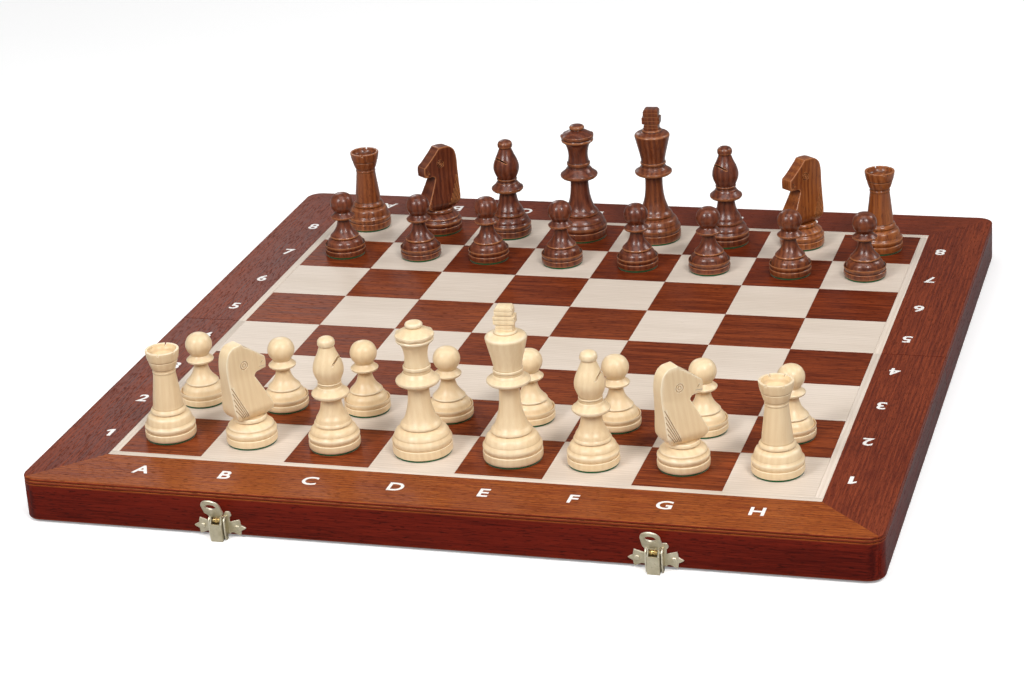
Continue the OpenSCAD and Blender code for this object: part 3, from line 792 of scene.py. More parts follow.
KING_ROWS = officer([
    (9.6, 20.6, 0), (8.4, 23.6, 0), (7.2, 27.2, 0), (6.4, 31.2, 0), (5.9, 36, 0),
    (5.8, 42.4, 0), (6.1, 44.6, 1), (8.8, 45.1, 0), (11.2, 45.8, 0), (12.3, 46.9, 0),
    (12.25, 48, 1), (10.8, 48.9, 0), (9.4, 49.9, 0), (8.6, 51, 1), (8.1, 51.3, 1),
    (8, 52.8, 1), (8.5, 53.1, 1), (8.45, 54.2, 1), (7.9, 54.5, 1), (8, 56.2, 0),
    (9.1, 61.5, 0), (10.2, 66, 0), (11.1, 69.8, 0), (11.65, 72, 1), (11.4, 73.2, 0),
    (10.2, 74.2, 0), (8.4, 74.8, 0), (7, 75.1, 1), (6.5, 75.4, 1),
    (6.5, 76.2, 0), (6, 76.8, 1), (0, 76.9, 1)], 11.3, 16.6, 16.8, 6.2, 9.6)
QUEEN_ROWS = officer([
    (9.8, 20, 0), (8.4, 23, 0), (7, 28, 0), (6.3, 33, 0), (6, 38.6, 0), (6.2, 40.6, 1),
    (8.8, 41.2, 0), (11.4, 42.1, 0), (12.4, 43.4, 0), (12.3, 44.5, 1), (10.8, 45.7, 0),
    (9.9, 46.4, 1), (9.5, 46.7, 1), (8.2, 48.5, 1), (7.5, 48.9, 1), (7.3, 50.6, 1), (7.8, 50.9, 1),
    (7.75, 52.4, 1), (7.1, 52.8, 1), (6.6, 55.8, 0), (6.5, 58.4, 0), (7, 62, 0),
    (8.1, 65, 0), (9.7, 66.9, 1), (10.4, 67.2, 0), (10.7, 68.2, 0), (10.1, 69, 1),
    (10.8, 69.6, 0), (11.2, 70.5, 0), (11, 71.5, 1), (9.5, 72.3, 0), (7.3, 73.6, 0),
    (5.4, 74.6, 0), (4.5, 74.9, 1), (4.2, 75.2, 1), (4.9, 76, 0), (4.95, 76.9, 0),
    (4.3, 77.8, 0), (2.6, 78.3, 0), (0, 78.4, 0)], 11.4, 16.2, 17, 6.2, 9.6)
BISHOP_ROWS = officer([
    (9.2, 18.7, 0), (7.9, 20.8, 0), (6.6, 24, 0), (5.9, 27.4, 0), (5.6, 29.4, 0),
    (5.8, 30.3, 1), (7.8, 30.8, 0), (9.8, 31.6, 0), (10.7, 32.8, 0), (10.6, 33.8, 1),
    (9.1, 35, 0), (7.7, 36.4, 0), (7.1, 37.5, 1), (6.5, 37.8, 1), (6.4, 39.1, 1),
    (6.8, 39.4, 1), (6.8, 40, 1), (6.3, 40.3, 1), (7.1, 42, 0), (8.2, 44.8, 0),
    (8.7, 47.4, 0), (8.4, 50.2, 0), (7.3, 53.6, 0), (5.7, 57, 0), (4.5, 60, 0),
    (4.2, 60.9, 1), (4.1, 61.3, 1), (4.85, 62.3, 0), (4.95, 63.7, 0), (4.5, 65.2, 0),
    (3.2, 66.3, 0), (1.5, 66.75, 0), (0, 66.8, 0)], 10.3, 14.3)
ROOK_ROWS = officer([
    (8.8, 19, 0), (8.4, 22.5, 0), (7.9, 27, 0), (7.3, 32, 0), (6.7, 37.4, 0),
    (6.4, 40.1, 1), (6.65, 40.3, 1), (6.65, 41.2, 1), (6.4, 41.5, 1), (6.5, 42.6, 1),
    (7, 42.9, 1), (7.8, 45.2, 0), (8.35, 47.3, 1), (8.1, 47.7, 1), (8.8, 48.3, 1),
    (9.3, 50.6, 0), (9.7, 53.2, 0), (9.6, 54, 1), (8.3, 54, 1), (7.9, 52.6, 0),
    (7.2, 51.2, 0), (6, 50.4, 0), (3, 50.1, 0), (0, 50, 1)], 9.9, 15.7)
PAWN_ROWS = base_rows(13.6, 4.8, 6)[:-1] + [
    (11.4, 10, 0), (9.9, 11.7, 0), (8.9, 12.3, 1), (9.6, 12.6, 1), (9.6, 13.3, 0),
    (8.6, 14.4, 0), (7.3, 15.8, 0), (5.8, 17.9, 0), (4.7, 20.5, 0), (4.15, 22.8, 0),
    (3.95, 24, 0), (4.3, 24.7, 1), (6.4, 25.1, 0), (7.8, 26, 0), (8.1, 27, 1),
    (6.9, 28, 0), (5.9, 29, 0), (5.3, 29.9, 1), (5.6, 30.6, 0), (6.9, 32.3, 0),
    (7.7, 34.4, 0), (7.9, 36.1, 0), (7.55, 38.1, 0), (6.4, 40.4, 0), (4.6, 42, 0),
    (2.3, 42.8, 0), (0, 43, 0)]
KNIGHT_BASE_ROWS = officer([(9, 16.1, 1), (0, 16.4, 1)], 9.4, 14)
FELT_RADIUS = {"king": 16.1, "queen": 16.3, "pawn": 12.9}
OFFICER_FELT_RADIUS = 14.0

# the knight's side view: how far forward, height, and 1 at a crisp turn
KNIGHT_ROWS = [
    (-7, 16, 1), (-11.4, 18, 0), (-13.4, 22.4, 0), (-13.8, 32, 0), (-14.1, 42, 0),
    (-13.9, 50, 0), (-12.4, 55.6, 0), (-9, 58.7, 0), (-5, 59.6, 0), (0.2, 59.6, 1),
    (2.1, 57.3, 1), (4.4, 55, 0), (8.9, 50.8, 0), (12.6, 47.9, 1), (12.9, 45.2, 0),
    (12.6, 41, 1), (8.6, 40.7, 0), (5.8, 40.5, 0), (4.6, 39, 1), (7.8, 31.6, 0),
    (12.7, 21.8, 1), (11.4, 18.2, 0), (7, 16, 1)]
RIM = 0.4                                    # how far the cheek's edge is eased, seen flat


def level_headed(row):
    """The pale knights carry the face higher and the crown further back than the dark."""
    s, z, crisp = row
    face = min(max((s + 4) / 14, 0), 1) if z > 36 else 0.0
    back = min(max((z - 30) / 20, 0), 1) if s < -8 else 0.0
    crown = min(max((z - 50) / 8, 0), 1) if s < 4 else 0.0
    forelock = 2.4 if z > 56 and s > -2 else 0.0
    return (s - 1.6 * min(3 * face, 1) - 0.9 * back - forelock,
            z + 2.5 * face + 1.9 * crown * (1 - face), crisp)


CHEEK_HEIGHTS = [15.8, 18, 21, 28, 42, 50, 62]
CHEEK_HALF = [4.6, 6.2, 7.2, 6.2, 4.4, 4.3, 4.4]
MANE_CUTS = 5
EYE_SPOTS = {"white": (-3.2, 48.7), "black": (-0.2, 48.3)}


def cheek_half(z):
    return float(np.interp(z, CHEEK_HEIGHTS, CHEEK_HALF))


def knight_head(rows):
    """The carved head: flat cheeks with eased edges, thickest at the chest."""
    line = eased(*smooth_line(rows, 1.1, closed=True), 0.6, closed=True)
    run = np.roll(line, -1, 0) - np.roll(line, 1, 0)
    run /= np.linalg.norm(run, axis=1)[:, None]
    line = np.hstack([line, line + RIM * np.stack([run[:, 1], -run[:, 0]], 1)])
    rings = []
    for side in (1, -1):
        for t in ((0, .35, .7, 1) if side > 0 else (1, .7, .35, 0)):
            reach, level = math.sin(t * math.pi / 2), 1 + math.cos(t * math.pi / 2)
            rings.append([(s_in + reach * (s - s_in), side * level, z_in + reach * (z - z_in))
                          for s, z, s_in, z_in in line])
    work = opened(skin(rings))
    work.faces.ensure_lookup_table()
    for face in work.faces[-2:]:
        face.material_index = 1
    for normal, spots in (((0, 0, 1), np.arange(17.3, 59, 1.5)),
                          ((1, 0, 0), np.arange(-11, 12, 1.5))):
        for spot in spots:
            flat = [f for f in work.faces if f.material_index == 1]
            geom = list(dict.fromkeys(part for f in flat for part in (f, *f.edges, *f.verts)))
            bmesh.ops.bisect_plane(work, geom=geom, dist=1e-4, plane_no=normal,
                                   plane_co=[spot * part for part in normal])
    bmesh.ops.triangulate(work, faces=[f for f in work.faces if len(f.verts) > 4])
    for vert in work.verts:
        half = cheek_half(vert.co.z)
        soft = 1.4 * RIM
        vert.co.y = math.copysign(half - soft + soft * (abs(vert.co.y) - 1), vert.co.y)
    for face in work.faces:
        face.material_index = 0
    mesh = closed_up(work)
    mesh.transform(TO_METRES)
    return tidied(mesh)


def groove(start, end, side, width=0.44, depth=0.5):
    """A cut that follows the cheek between two places in the side view."""
    across = Vector((start[1] - end[1], 0, end[0] - start[0])).normalized() * width / 2
    points, stations = [], 7
    for i in range(stations):
        s, z = (a + (b - a) * i / (stations - 1) for a, b in zip(start, end))
        middle = Vector((s, side * cheek_half(z), z))
        points += [middle + across * a + Vector((0, side * out, 0))
                   for a, out in ((-1, -depth), (1, -depth), (1, 1.5), (-1, 1.5))]
    faces = [(4 * i + k, 4 * i + (k + 1) % 4, 4 * i + 4 + (k + 1) % 4, 4 * i + 4 + k)
             for i in range(stations - 1) for k in range(4)]
    faces += [(3, 2, 1, 0), tuple(range(len(points) - 4, len(points)))]
    return tidied(mesh_of(points, faces))


def carving_tools(eye_spot, lift):
    """What is cut into both cheeks: mane lines, rings for the eye, nostril and mouth."""
    tools = []
    for side in (-1, 1):
        for k in range(MANE_CUTS):
            tools.append(groove((-13.4 + 0.1 * k, 38 - 3.3 * k), (-4.6 - k, 18.5), side,
                                0.55, 0.5))
        for radius, thick in ((2.3, 0.34), (1.0, 0.28)):
            tools.append(ring_tool(radius, thick, eye_spot, side))
        tools.append(groove((9.6 - .8 * lift, 44.6 + lift), (11 - .8 * lift, 46 + lift), side,
                            0.6, 0.35))
        tools.append(groove((8.2 - .8 * lift, 42.9 + lift), (12.9 - .8 * lift, 42.7 + lift),
                            side, 0.35, 0.45))
    for tool in tools:
        tool.transform(TO_METRES)
    return tools


def ring_tool(radius, thick, spot, side):
    around, along = 8, 28
    points, faces = [], []
    for i in range(along):
        a = 2 * math.pi * i / along
        for j in range(around):
            b = 2 * math.pi * j / around
            r = radius + thick * math.cos(b)
            points.append((spot[0] + r * math.cos(a), side * (cheek_half(spot[1]) + 0.06)
                           + 0.4 * math.sin(b), spot[1] + r * math.sin(a)))
            n, m = (i + 1) % along, (j + 1) % around
            faces.append((i * around + j, n * around + j, n * around + m, i * around + m))
    return tidied(mesh_of(points, faces))


def king_mesh():
    """The finial is a flat block in three steps, grooved across on both faces."""
    finial = extruded([(-4.8, 76.4), (4.8, 76.4), (4.7, 80), (4.3, 80.2), (4.3, 80.6),
                       (5.9, 81), (5.95, 85.2), (4.5, 85.6), (4.5, 86), (5, 86.4),
                       (5, 89.4), (3.8, 90.7), (-3.8, 90.7), (-5, 89.4), (-5, 86.4),
                       (-4.5, 86), (-4.5, 85.6), (-5.95, 85.2), (-5.9, 81), (-4.3, 80.6),
                       (-4.3, 80.2), (-4.7, 80)], 7.4, Matrix.Translation((0, -3.7, 0)))
    finial.transform(TO_METRES)
    grooves = [box_mesh((-8 * MM, y - 1 * MM, (z - high) * MM), (8 * MM, y + 1 * MM,
               (z + high) * MM)) for z, high, y0 in ((80.4, .3, 4.2), (85.8, .3, 4.2),
               (83.1, .16, 4.4), (88.4, .16, 4.4), (78.4, .16, 4.4))
               for y in (-y0 * MM, y0 * MM)]
    finial = softened(cut(finial, *grooves), 0.16 * MM)
    return joined(turned(KING_ROWS), finial)


def queen_mesh():
    """The coronet's rim is worked into a ring of shallow waves."""
    mesh = turned(QUEEN_ROWS, 108)
    co = points_of(mesh) / MM
    angle = np.arctan2(co[:, 1], co[:, 0])
    rim = np.exp(-((co[:, 2] - 70.6) / 1.6) ** 2)
    wave = np.cos(9 * angle)
    co[:, :2] *= (1 + 0.016 * rim * (wave - 1))[:, None]
    co[:, 2] += 0.38 * rim * wave
    mesh.vertices.foreach_set("co", (co * MM).astype(np.float32).ravel())
    mesh.update()
    return mesh


def bishop_mesh(facing, tilt):
    slit = box_mesh((-.5, -10, -3.2), (.5, 10, 4.5))
    slit.transform(Matrix.Rotation(math.radians(facing), 4, "Z") @
                   Matrix.Translation((6.4, 0, 54.5)) @ Matrix.Rotation(math.radians(tilt), 4, "Y"))
    slit.transform(TO_METRES)
    return cut(turned(BISHOP_ROWS), slit)


def rook_mesh():
    notches = []
    for k in range(3):
        notch = box_mesh((-12 * MM, -0.5 * MM, 52.7 * MM), (12 * MM, 0.5 * MM, 56 * MM))
        notch.transform(Matrix.Rotation(math.radians(20 + 60 * k), 4, "Z"))
        notches.append(notch)
    return cut(turned(ROOK_ROWS), *notches)


def knight_mesh(colour):
    pale = colour == "white"
    rows = [level_headed(row) for row in KNIGHT_ROWS] if pale else KNIGHT_ROWS
    head = cut(knight_head(rows), *carving_tools(EYE_SPOTS[colour], 2.2 if pale else 0.0))
    return joined(turned(KNIGHT_BASE_ROWS), head)


KNIGHT_FACING = {"white_knight_b": 55, "white_knight_g": 43, "black_knight_b": 232,
                 "black_knight_g": 232}
SHAPES = {"king": king_mesh(), "queen": queen_mesh(), "rook": rook_mesh(),
          "pawn": turned(PAWN_ROWS), "white_bishop": bishop_mesh(-2, 22),
          "black_bishop": bishop_mesh(232, 45)}
for colour in ("white", "black"):
    SHAPES[colour + "_knight"] = knight_mesh(colour)
for shape in SHAPES.values():
    mark_edges(shape)
FELTS = {}
for kind in ("king", "queen", "pawn", "officer"):
    r = FELT_RADIUS.get(kind, OFFICER_FELT_RADIUS)
    FELTS[kind] = turned([(0, 0, 1), (r - .2, 0, 1), (r, .25, 0), (r + .05, .5, 0),
                          (r - .05, .8, 0), (r - .25, .9, 1), (0, .9, 1)], 64, 0.3, 0.06,
                         GREEN_FELT)

LIGHTER = {"black_rook_h": 0.9, "black_knight_g": 1.0, "black_rook_a": 0.45,
           "black_king": 0.3, "black_pawn_h": 0.15, "black_pawn_g": 0.25}


def foot_centre(node):
    """Middle of a chess piece's foot."""
    co = points_of(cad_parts[node].data)
    foot = co[co[:, 2] < co[:, 2].min() + 3 * MM]
    middle = (foot.min(0) + foot.max(0)) / 2
    return Vector((middle[0], middle[1], co[:, 2].min()))


def stand_piece(node, seed):
    kind = node.split("_")[1]
    shape = SHAPES.get(kind) or SHAPES[node.split("_")[0] + "_" + kind]
    dice = random.Random(seed)
    turn = math.radians(KNIGHT_FACING.get(node, 0.0))
    if kind in ("rook", "pawn", "queen"):
        turn = dice.uniform(0, 2 * math.pi)
    if kind == "king":
        turn = math.radians(4)
    mesh = shape.copy()
    lean = Matrix.Rotation(math.radians(dice.uniform(2, 6)), 4,
                           Vector((math.cos(seed), math.sin(seed), 0)))
    co = points_of(mesh) @ np.array(lean.to_3x3()).T
    shift = [dice.uniform(-5, 5) for _ in range(3)]
    set_values(mesh, "grain", "FLOAT_VECTOR", co[:, (2, 0, 1)] + shift)
    set_values(mesh, "tint", "FLOAT", np.full(len(co), LIGHTER.get(node, 0.0)))
    place = Matrix.Translation(foot_centre(node)) @ Matrix.Rotation(turn, 4, "Z")
    mesh.transform(place)
    white = node.startswith("white")
    body = show(node + "_wood", shade(mesh, 32), PALE_WOOD if white else STAINED_WOOD)
    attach(body, node)
    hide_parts(node)
    pad_mesh = FELTS[kind if kind in FELT_RADIUS else "officer"].copy()
    pad_mesh.transform(Matrix.Translation(foot_centre(node)))
    pad = show(node + "_felt", shade(pad_mesh, 50), GREEN_FELT)
    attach(pad, node)


CHESSMEN = [n for n in sorted(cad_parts) if n.startswith(("white_", "black_"))]
for number, chessman in enumerate(CHESSMEN):
    stand_piece(chessman, 100 + 7 * number)


# ---- the board ----

def rail(section, way):
    """One side of a half board. section is (distance in from the outer face, height); way is
    "front", "left" or "right". The half lies in front of the fold, at y below 0."""
    rows = []
    turn = [k * math.pi / 4 / 6 for k in range(7)]
    for angle in (turn[::-1] + turn if way == "front" else [None] + turn):
        row = []
        mirrored = way == "front" and len(rows) < len(turn)
        for d, z in section:
            centre, arm = outer - max(CORNER_R, d), max(CORNER_R - d, 0)
            if way == "front":
                x = centre + arm * math.sin(angle)
                row.append((-x if mirrored else x, -centre - arm * math.cos(angle), z))
            else:
                side = -1 if way == "left" else 1
                if angle is None:
                    row.append((side * (outer - d), -FOLD_GAP, z))
                else:
                    row.append((side * (centre + arm * math.cos(angle)),
                                -centre - arm * math.sin(angle), z))
        rows.append(row)
    return tidied(skin(rows), 2e-6)


def rails(section):
    return joined(*[rail(section, way) for way in ("front", "left", "right")])


def placed_half(mesh, side):
    """Moves a mesh drawn in front of the fold to the near (-1) or far (1) half."""
    if side > 0:
        mesh.transform(Matrix.Scale(-1, 4, (0, 1, 0)))
    mesh.transform(Matrix.Translation((0, fold_y, 0)))
    return tidied(mesh, 0)


def border_section():
    """A small rounded top edge, then a groove, a bead and a finer groove down the face."""
    rows = [(BORDER_W, 0), (2, 0)]
    for k in range(6):
        a = math.pi / 2 * k / 5
        rows.append((TOP_EDGE * (1 - math.sin(a)), TOP_EDGE * (math.cos(a) - 1)))
    rows += [(0, -1.05), (.25, -1.2), (.6, -1.35), (.65, -1.55), (.35, -1.75), (.08, -2.05),
             (0, -2.5), (.06, -2.95), (.3, -3.25), (.55, -3.4), (.5, -3.6), (0, -3.8), (0, -4.6)]
    rows += [(0, (border_low - top_z) / MM), (BORDER_W, (border_low - top_z) / MM)]
    return [(d * MM, top_z + z * MM) for d, z in rows]


def wall_section():
    low, high, soft = wall_low.z, wall_high.z, 0.7 * MM
    return [(0, high), (0, low + 2 * soft), (0, low + soft), (.3 * soft, low + .3 * soft),
            (soft, low), (WALL_T - soft, low), (WALL_T - .3 * soft, low + .3 * soft),
            (WALL_T, low + soft), (WALL_T, high)]


def board_piece(name, mesh, body, node, slot, *materials):
    piece = show(name, mesh, *materials)
    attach(piece, body)
    if node:
        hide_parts(node)
    return piece


def front_sheen_tint(strength):
    """Painted sheen: all strips of the border but the front one take the darker tinted colours, so
    the front strip shows lighter.
    """
    def pick(centre, dice):
        front = abs(centre[0]) < abs(centre[1] - fold_y) and centre[1] < fold_y
        return 0.0 if front else strength
    return pick


def square_sheen_tint(centre, dice):
    """Painted sheen: the dark squares grow lighter and more orange towards the front and left, with
    a random amount per square on top.
    """
    lightness = 0.5 - 1.3 * (centre[1] - fold_y) - 0.9 * centre[0]
    return min(max(lightness + dice.uniform(-0.2, 0.2), 0), 1)


def tile_mesh():
    size, depth = square / 2 - 0.035 * MM, top_z - veneer_z
    return softened(box_mesh((-size, -size, 0), (size, size, depth)), 0.09 * MM, 1)


def lining_mesh(node):
    """A felt lining: a thin sheet whose surface is gently uneven, thinner at its cut edges."""
    low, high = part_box(node)
    across, along = 96, 48
    thick = high.z - low.z
    points, faces = [], []
    for layer in (0, 1):
        for i in range(across + 1):
            for j in range(along + 1):
                x = low.x + (high.x - low.x) * i / across
                y = low.y + (high.y - low.y) * j / along
                rim = min(i, across - i, j, along - j)
                ease = 0.25 * thick if rim == 0 else 0.0
                wave = 0.06 * thick * (math.sin(61 * x + 17 * y) + math.sin(43 * y - 29 * x))
                z = high.z - ease if layer else low.z + ease + abs(wave)
                points.append((x, y, z))
    row, size = along + 1, (across + 1) * (along + 1)
    for i in range(across):
        for j in range(along):
            a = i * row + j
            for base in (0, size):
                faces.append((base + a, base + a + 1, base + a + row + 1, base + a + row))
    edge = [i * row for i in range(across)] + [across * row + j for j in range(along)]
    edge += [i * row + along for i in range(across, 0, -1)] + list(range(along, 0, -1))
    for k, a in enumerate(edge):
        b = edge[(k + 1) % len(edge)]
        faces.append((a, b, b + size, a + size))
    return tidied(mesh_of(points, faces), 1e-7)


def figure_one():
    """The figure 1 with its flag."""
    outline = [(-.7, -4.6), (1.5, -4.6), (1.5, 4.6), (-.2, 4.6), (-2.9, 2.9), (-2.9, 1),
               (-.7, 2.2)]
    figure = extruded([(x * MM, y * MM) for x, y in outline], 0.06 * MM)
    figure.transform(Matrix.Rotation(-math.pi / 2, 4, "X"))
    return tidied(figure, 1e-7)


def text_mesh(text):
    curve = bpy.data.curves.new("figure", "FONT")
    curve.body, curve.size = text, 13.4 * MM
    curve.align_x, curve.align_y = "CENTER", "CENTER"
    curve.offset, curve.extrude = 0.28 * MM, 0.03 * MM
    curve.resolution_u = 6
    figure = show("figure", curve)
    bpy.context.view_layer.update()
    mesh = bpy.data.meshes.new_from_object(figure)
    drop(figure)
    bpy.data.curves.remove(curve)
    return mesh


def coordinate(text, x, y, turned_over):
    """One printed figure, lying on the border."""
    mesh = figure_one() if text == "1" else text_mesh(text)
    co = points_of(mesh)
    middle = (co.min(0) + co.max(0)) / 2
    mesh.transform(Matrix.Translation((-middle[0], -middle[1], 0)))
    spin = math.pi if turned_over else 0.0
    mesh.transform(Matrix.Translation((x, y, top_z + 0.02 * MM)) @ Matrix.Rotation(spin, 4, "Z"))
    return mesh


FIGURE_ROW = 221.3 * MM                      # letters, from the middle of the field
FIGURE_COLUMN = 216.5 * MM                   # numbers


def coordinates(side):
    figures = []
    for k in range(8):
        x = (k - 3.5) * square
        figures.append(coordinate("ABCDEFGH"[k], x - 1.6 * MM, fold_y + side * FIGURE_ROW,
                                  side > 0))
    for rank in (range(4, 8) if side > 0 else range(4)):
        y = fold_y + (rank - 3.5) * square - 1 * MM
        figures.append(coordinate(str(rank + 1), -FIGURE_COLUMN, y, False))
        figures.append(coordinate(str(rank + 1), FIGURE_COLUMN, y, True))
    return joined(*figures)


def lay_board(half, side):
    body = half + "_half"
    seed = 40 + side
    strips = mark_edges(placed_half(rails(border_section()), side))
    grained(strips, seed, "longest", tint=front_sheen_tint(0.85))
    strips.materials.append(BORDER_VENEER)
    strips.materials.append(RAIL_WOOD)
    for face in strips.polygons:
        face.material_index = 0 if face.normal.z > 0.6 else 1
    board_piece(half + "_border_strips", shade(strips, 40), body, half + "_border", "mahogany")

    middle = from_cad(half + "_frame", 0.12,
                      lambda low, high: high[0] - low[0] > outer and high[1] - low[1] < 12 * MM
                      and abs((low[1] + high[1]) / 2 - fold_y) < 20 * MM)
    walls = joined(placed_half(rails(wall_section()), side), middle)
    mark_edges(walls)
    grained(walls, seed, "longest")
    board_piece(half + "_walls", shade(walls, 40), body, half + "_frame", "mahogany", RAIL_WOOD)

    tile = show("tile", tile_mesh())
    for name, parity in (("dark", 0), ("light", 1)):
        finish = DARK_VENEER if name == "dark" else LIGHT_VENEER
        field_mesh = grown(CHEQUER, "chequer", finish, {
            "Tile": tile, "Size": square, "Files": 8, "Ranks": 4, "Parity": parity,
            "Centre": (0, fold_y + side * 2 * square, veneer_z)})
        grained(field_mesh, seed + 5, "x", tint=square_sheen_tint if name == "dark" else None)
        board_piece(half + "_" + name + "_veneer", shade(field_mesh, 30), body,
                    half + "_" + name + "_squares", name + "_veneer", finish)
    drop(tile)

    for name, node, width, more, along, slot, finish in (
            ("_line", "_stringing", 0.08, 9, "longest", "light_veneer", LIGHT_VENEER),
            ("_ply", "_panel", 0.15, 11, "x", "plywood", PLYWOOD)):
        mesh = grained(from_cad(half + node, width), seed + more, along)
        board_piece(half + name, shade(mesh, 30), body, half + node, slot, finish)
    lining = board_piece(half + "_felt_lining", shade(lining_mesh(half + "_lining"), 50), body,
                         half + "_lining", "green_felt", GREEN_FELT)
    figures = show(half + "_coordinates", coordinates(side), WHITE_PRINT)
    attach(figures, body)


for half, side in (("near", -1), ("far", 1)):
    lay_board(half, side)


# ---- hinges, latches, nails and screws ----

def metal_piece(name, mesh, body, node, slot="pale_brass", material=PALE_BRASS):
    return board_piece(name, shade(mark_edges(mesh), 35), body, node, slot, material)


def solid_spots(node):
    """The box of each separate solid of a CAD node."""
    work = cad_work(node)
    spots = [box_of(group) for group in islands(work)]
    work.free()
    return spots


def fasten(name, item, node, body, turn, seed, axis=None, seat=0.0, slot="pale_brass",
           material=PALE_BRASS):
    """An item in each solid of a CAD node: in its middle, or seated mm in along an axis."""
    marks = []
    for low, high in solid_spots(node):
        mark = (low + high) / 2
        if axis is not None:
            mark[axis] = (low if seat > 0 else high)[axis] + seat * MM
        marks.append(tuple(mark))
    metal_piece(name, set_at(item, marks, turn, seed, material), body, node, slot, material)


NAIL = turned([(0, -7, 1), (.6, -7, 1), (.6, 0, 1), (1.35, 0, 1), (1.5, .2, 0), (1.25, .5, 0),
               (.7, .68, 0), (0, .74, 0)], 24, 0.25, 0.05, PALE_BRASS)
SCREW_BODY = turned([(0, -8, 1), (.85, -8, 1), (.85, -1, 1), (1.85, -.05, 1), (1.75, .04, 0),
                     (0, .05, 1)], 28, 0.5, 0.05, PALE_BRASS)
SCREW = cut(SCREW_BODY, box_mesh((-3 * MM, -.25 * MM, -.4 * MM), (3 * MM, .25 * MM, 1 * MM)))

for half, side in (("near", -1), ("far", 1)):
    body = half + "_half"
    metal_piece("hinge_" + half + "_leaf_pair", from_cad("hinge_" + half + "_leaves", 0.1),
                body, "hinge_" + half + "_leaves")
    fasten("hinge_" + half + "_slotted_screws", SCREW, "hinge_" + half + "_screws", body,
           (math.pi, 0, 0), 11 + side, 2, 0.12)
metal_piece("hinge_pin_pair", from_cad("hinge_pins", 0.15), "near_half", "hinge_pins")


def lobed(radius, cusp, points, first):
    """Radius of a pointed lobe at an angle: tips with hollow curves between them."""
    def reach(angle):
        between = abs((((angle - first) * points / (2 * math.pi)) % 1) - 0.5) * 2
        return radius * (cusp + (1 - cusp) * between ** 1.6)
    return reach


def plate_outline(lobes, block):
    """Outer line of overlapping lobes and a block, seen from the block's middle."""
    x0, x1, z0, z1 = block
    start = ((x0 + x1) / 2, (z0 + z1) / 2)
    outline = []
    for k in range(288):
        angle = 2 * math.pi * k / 288
        best = 1.0
        for step in range(20, 380):
            r = step * 0.05
            x, z = start[0] + r * math.cos(angle), start[1] + r * math.sin(angle)
            inside = x0 <= x <= x1 and z0 <= z <= z1
            for cx, cz, reach in lobes:
                inside = inside or math.hypot(x - cx, z - cz) <= reach(
                    math.atan2(z - cz, x - cx))
            best = r if inside else best
        outline.append((start[0] + best * math.cos(angle), start[1] + best * math.sin(angle)))
    return outline


def on_face(mesh, x, side):
    """Moves a fitting drawn with Y out of the face to the near (-1) or far (1) face."""
    if side < 0:
        mesh.transform(Matrix.Scale(-1, 4, (0, 1, 0)))
    mesh.transform(Matrix.Translation((x, fold_y + side * outer, 0)))
    return tidied(mesh, 1e-7)


PLATE_LOBES = [(10, 6.3, lobed(5.3, 0.55, 5, 0)), (-10, 6.3, lobed(5.3, 0.55, 5, math.pi)),
               (5.1, 14, lobed(2.1, 0.9, 5, 1)), (-5.1, 14, lobed(2.1, 0.9, 5, 1))]
EAR = [(2.4, 0.4), (2.4, 1.4), (0.05, 1.4), (0.05, 4.4), (4, 5.4), (11.6, 5.4), (12.4, 5.1),
       (13.2, 4.3), (13.6, 3.6), (13.6, 0.4)]


def latch_plate():
    plate = extruded(plate_outline(PLATE_LOBES, (-6, 6, 2.3, 12.8)), 0.8, ease=0.14)
    parts = [plate]
    for x in (-4.8, 4.0):
        ear = extruded([(z, y) for z, y in EAR], 0.8)
        ear.transform(Matrix(((0, 1, 0, x), (0, 0, 1, 0), (1, 0, 0, 0), (0, 0, 0, 1))))
        parts.append(tidied(ear))
    whole = joined(*parts)
    whole.transform(TO_METRES)
    return whole


def finger_hole(x):
    """The oval hole through the lever's leaning tab, as a tool to cut it with."""
    around = [2 * math.pi * k / 28 for k in range(28)]
    tool = extruded([(3.1 * MM * math.cos(a), 2.5 * MM * math.sin(a)) for a in around],
                    8 * MM, Matrix.Translation((0, -4 * MM, 0)))
    lean = math.radians(33)
    tool.transform(Matrix.Rotation(lean, 4, "X"))
    reach = 13.5 * MM
    tool.transform(Matrix.Translation((x, fold_y - outer - 3 * MM - reach * math.sin(lean),
                                       12 * MM + reach * math.cos(lean))))
    return tidied(tool)


latch_spots = {}
for name, body in (("latch_left_lever", "left_latch"), ("latch_right_lever", "right_latch")):
    low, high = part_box(name)
    latch_spots[body] = (low.x + high.x) / 2
    lever = cut(from_cad(name, 0.13), finger_hole((low.x + high.x) / 2))
    metal_piece(name.replace("lever", "bent_lever"), lever, body, name)

plates = joined(*[on_face(latch_plate(), x, -1) for x in latch_spots.values()])
metal_piece("latch_star_plates", softened(plates, 0.07 * MM, 1), "near_half", "latch_plates")
metal_piece("latch_rivets", from_cad("latch_pins", 0.2), "near_half", "latch_pins")
spring = grown(SPRING, "spring", SPRING_BRASS, {
    "Coil Radius": 1.45 * MM, "Wire Radius": 0.27 * MM, "Length": 4.6 * MM, "Turns": 7.0})
fasten("latch_coil_springs", spring, "latch_springs", "near_half", (0, math.pi / 2, 0), 5,
       slot="spring_brass", material=SPRING_BRASS)
fasten("latch_round_nails", NAIL, "latch_nails", "near_half", (math.pi / 2, 0, 0), 6, 1, 0.6)
metal_piece("strike_plates", from_cad("strikes", 0.12), "far_half", "strikes")
fasten("strike_round_nails", NAIL, "strike_nails", "far_half", (-math.pi / 2, 0, 0), 7, 1, -0.6)


# ---- floor, camera and light ----

def backdrop():
    size = 6.0
    floor = show("floor", mesh_of([(-size, -size, 0), (size, -size, 0), (size, size, 0),
                                   (-size, size, 0)], [(0, 1, 2, 3)]), paper_floor())


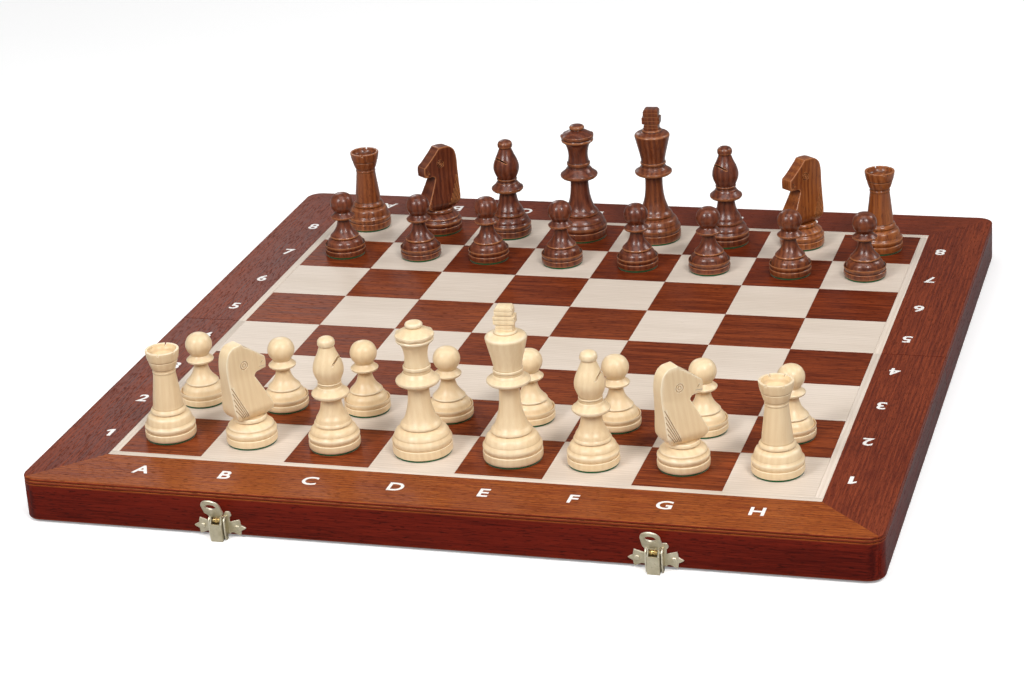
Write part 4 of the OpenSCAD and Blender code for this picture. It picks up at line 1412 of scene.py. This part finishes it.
def place_camera(spot, azimuth, elevation, roll, lens):
    """Azimuth 0 looks along +Y; all angles in degrees."""
    data = bpy.data.cameras.new("camera")
    data.lens, data.sensor_width = lens, 36.0
    data.clip_start, data.clip_end = 0.05, 50.0
    camera = bpy.data.objects.new("camera", data)
    bpy.context.scene.collection.objects.link(camera)
    turn = (Matrix.Rotation(math.radians(azimuth), 4, "Z")
            @ Matrix.Rotation(math.radians(90 - elevation), 4, "X")
            @ Matrix.Rotation(math.radians(roll), 4, "Z"))
    camera.matrix_world = Matrix.Translation(spot) @ turn
    bpy.context.scene.camera = camera


def softbox(name, azimuth, elevation, distance, width, height, power):
    """A soft light aimed at the board; azimuth 0 stands in front, 90 to the right."""
    data = bpy.data.lights.new(name, "AREA")
    data.shape, data.size, data.size_y, data.energy = "RECTANGLE", width, height, power
    light = bpy.data.objects.new(name, data)
    bpy.context.scene.collection.objects.link(light)
    a, e = math.radians(azimuth), math.radians(elevation)
    away = Vector((math.sin(a) * math.cos(e), -math.cos(a) * math.cos(e), math.sin(e)))
    light.location = away * distance + Vector((0, 0, 0.03))
    light.rotation_euler = (-away).to_track_quat("-Z", "Y").to_euler()


def studio():
    scene = bpy.context.scene
    scene.view_settings.view_transform = "Standard"
    world = bpy.data.worlds.new("studio")
    scene.world = world
    world.use_nodes = True
    tree = world.node_tree
    tree.nodes.clear()
    seen = put(tree, "ShaderNodeLightPath").outputs["Is Camera Ray"]
    strength = calc(tree, "MULTIPLY_ADD", seen, 1.0 - ROOM_LIGHT, ROOM_LIGHT)
    glow = put(tree, "ShaderNodeBackground", {"Color": (1, 1, 1, 1), "Strength": strength})
    tree.links.new(glow.outputs[0], put(tree, "ShaderNodeOutputWorld").inputs[0])
    for name, *values in SOFTBOXES:
        softbox(name + "_softbox", *values)


# each light's name, azimuth, elevation, distance, width, height and power
SOFTBOXES = [("overhead", 0, 82, 1.9, 1.3, 1.1, 9), ("front_left", -28, 40, 1.9, 0.5, 0.7, 15.5),
             ("front_right", 40, 44, 1.9, 0.5, 0.7, 15.5),
             ("back_right", 125, 38, 2.0, 0.5, 0.6, 7), ("back_left", -150, 22, 2.2, 0.5, 0.5, 2.5)]
ROOM_LIGHT = 0.22                            # the room's own light on everything but the camera
place_camera(Vector((0.4372, -1.48282 + fold_y, 0.62652 + top_z)), 17.28, 22.12, -3.68, 95.4)
backdrop()
studio()
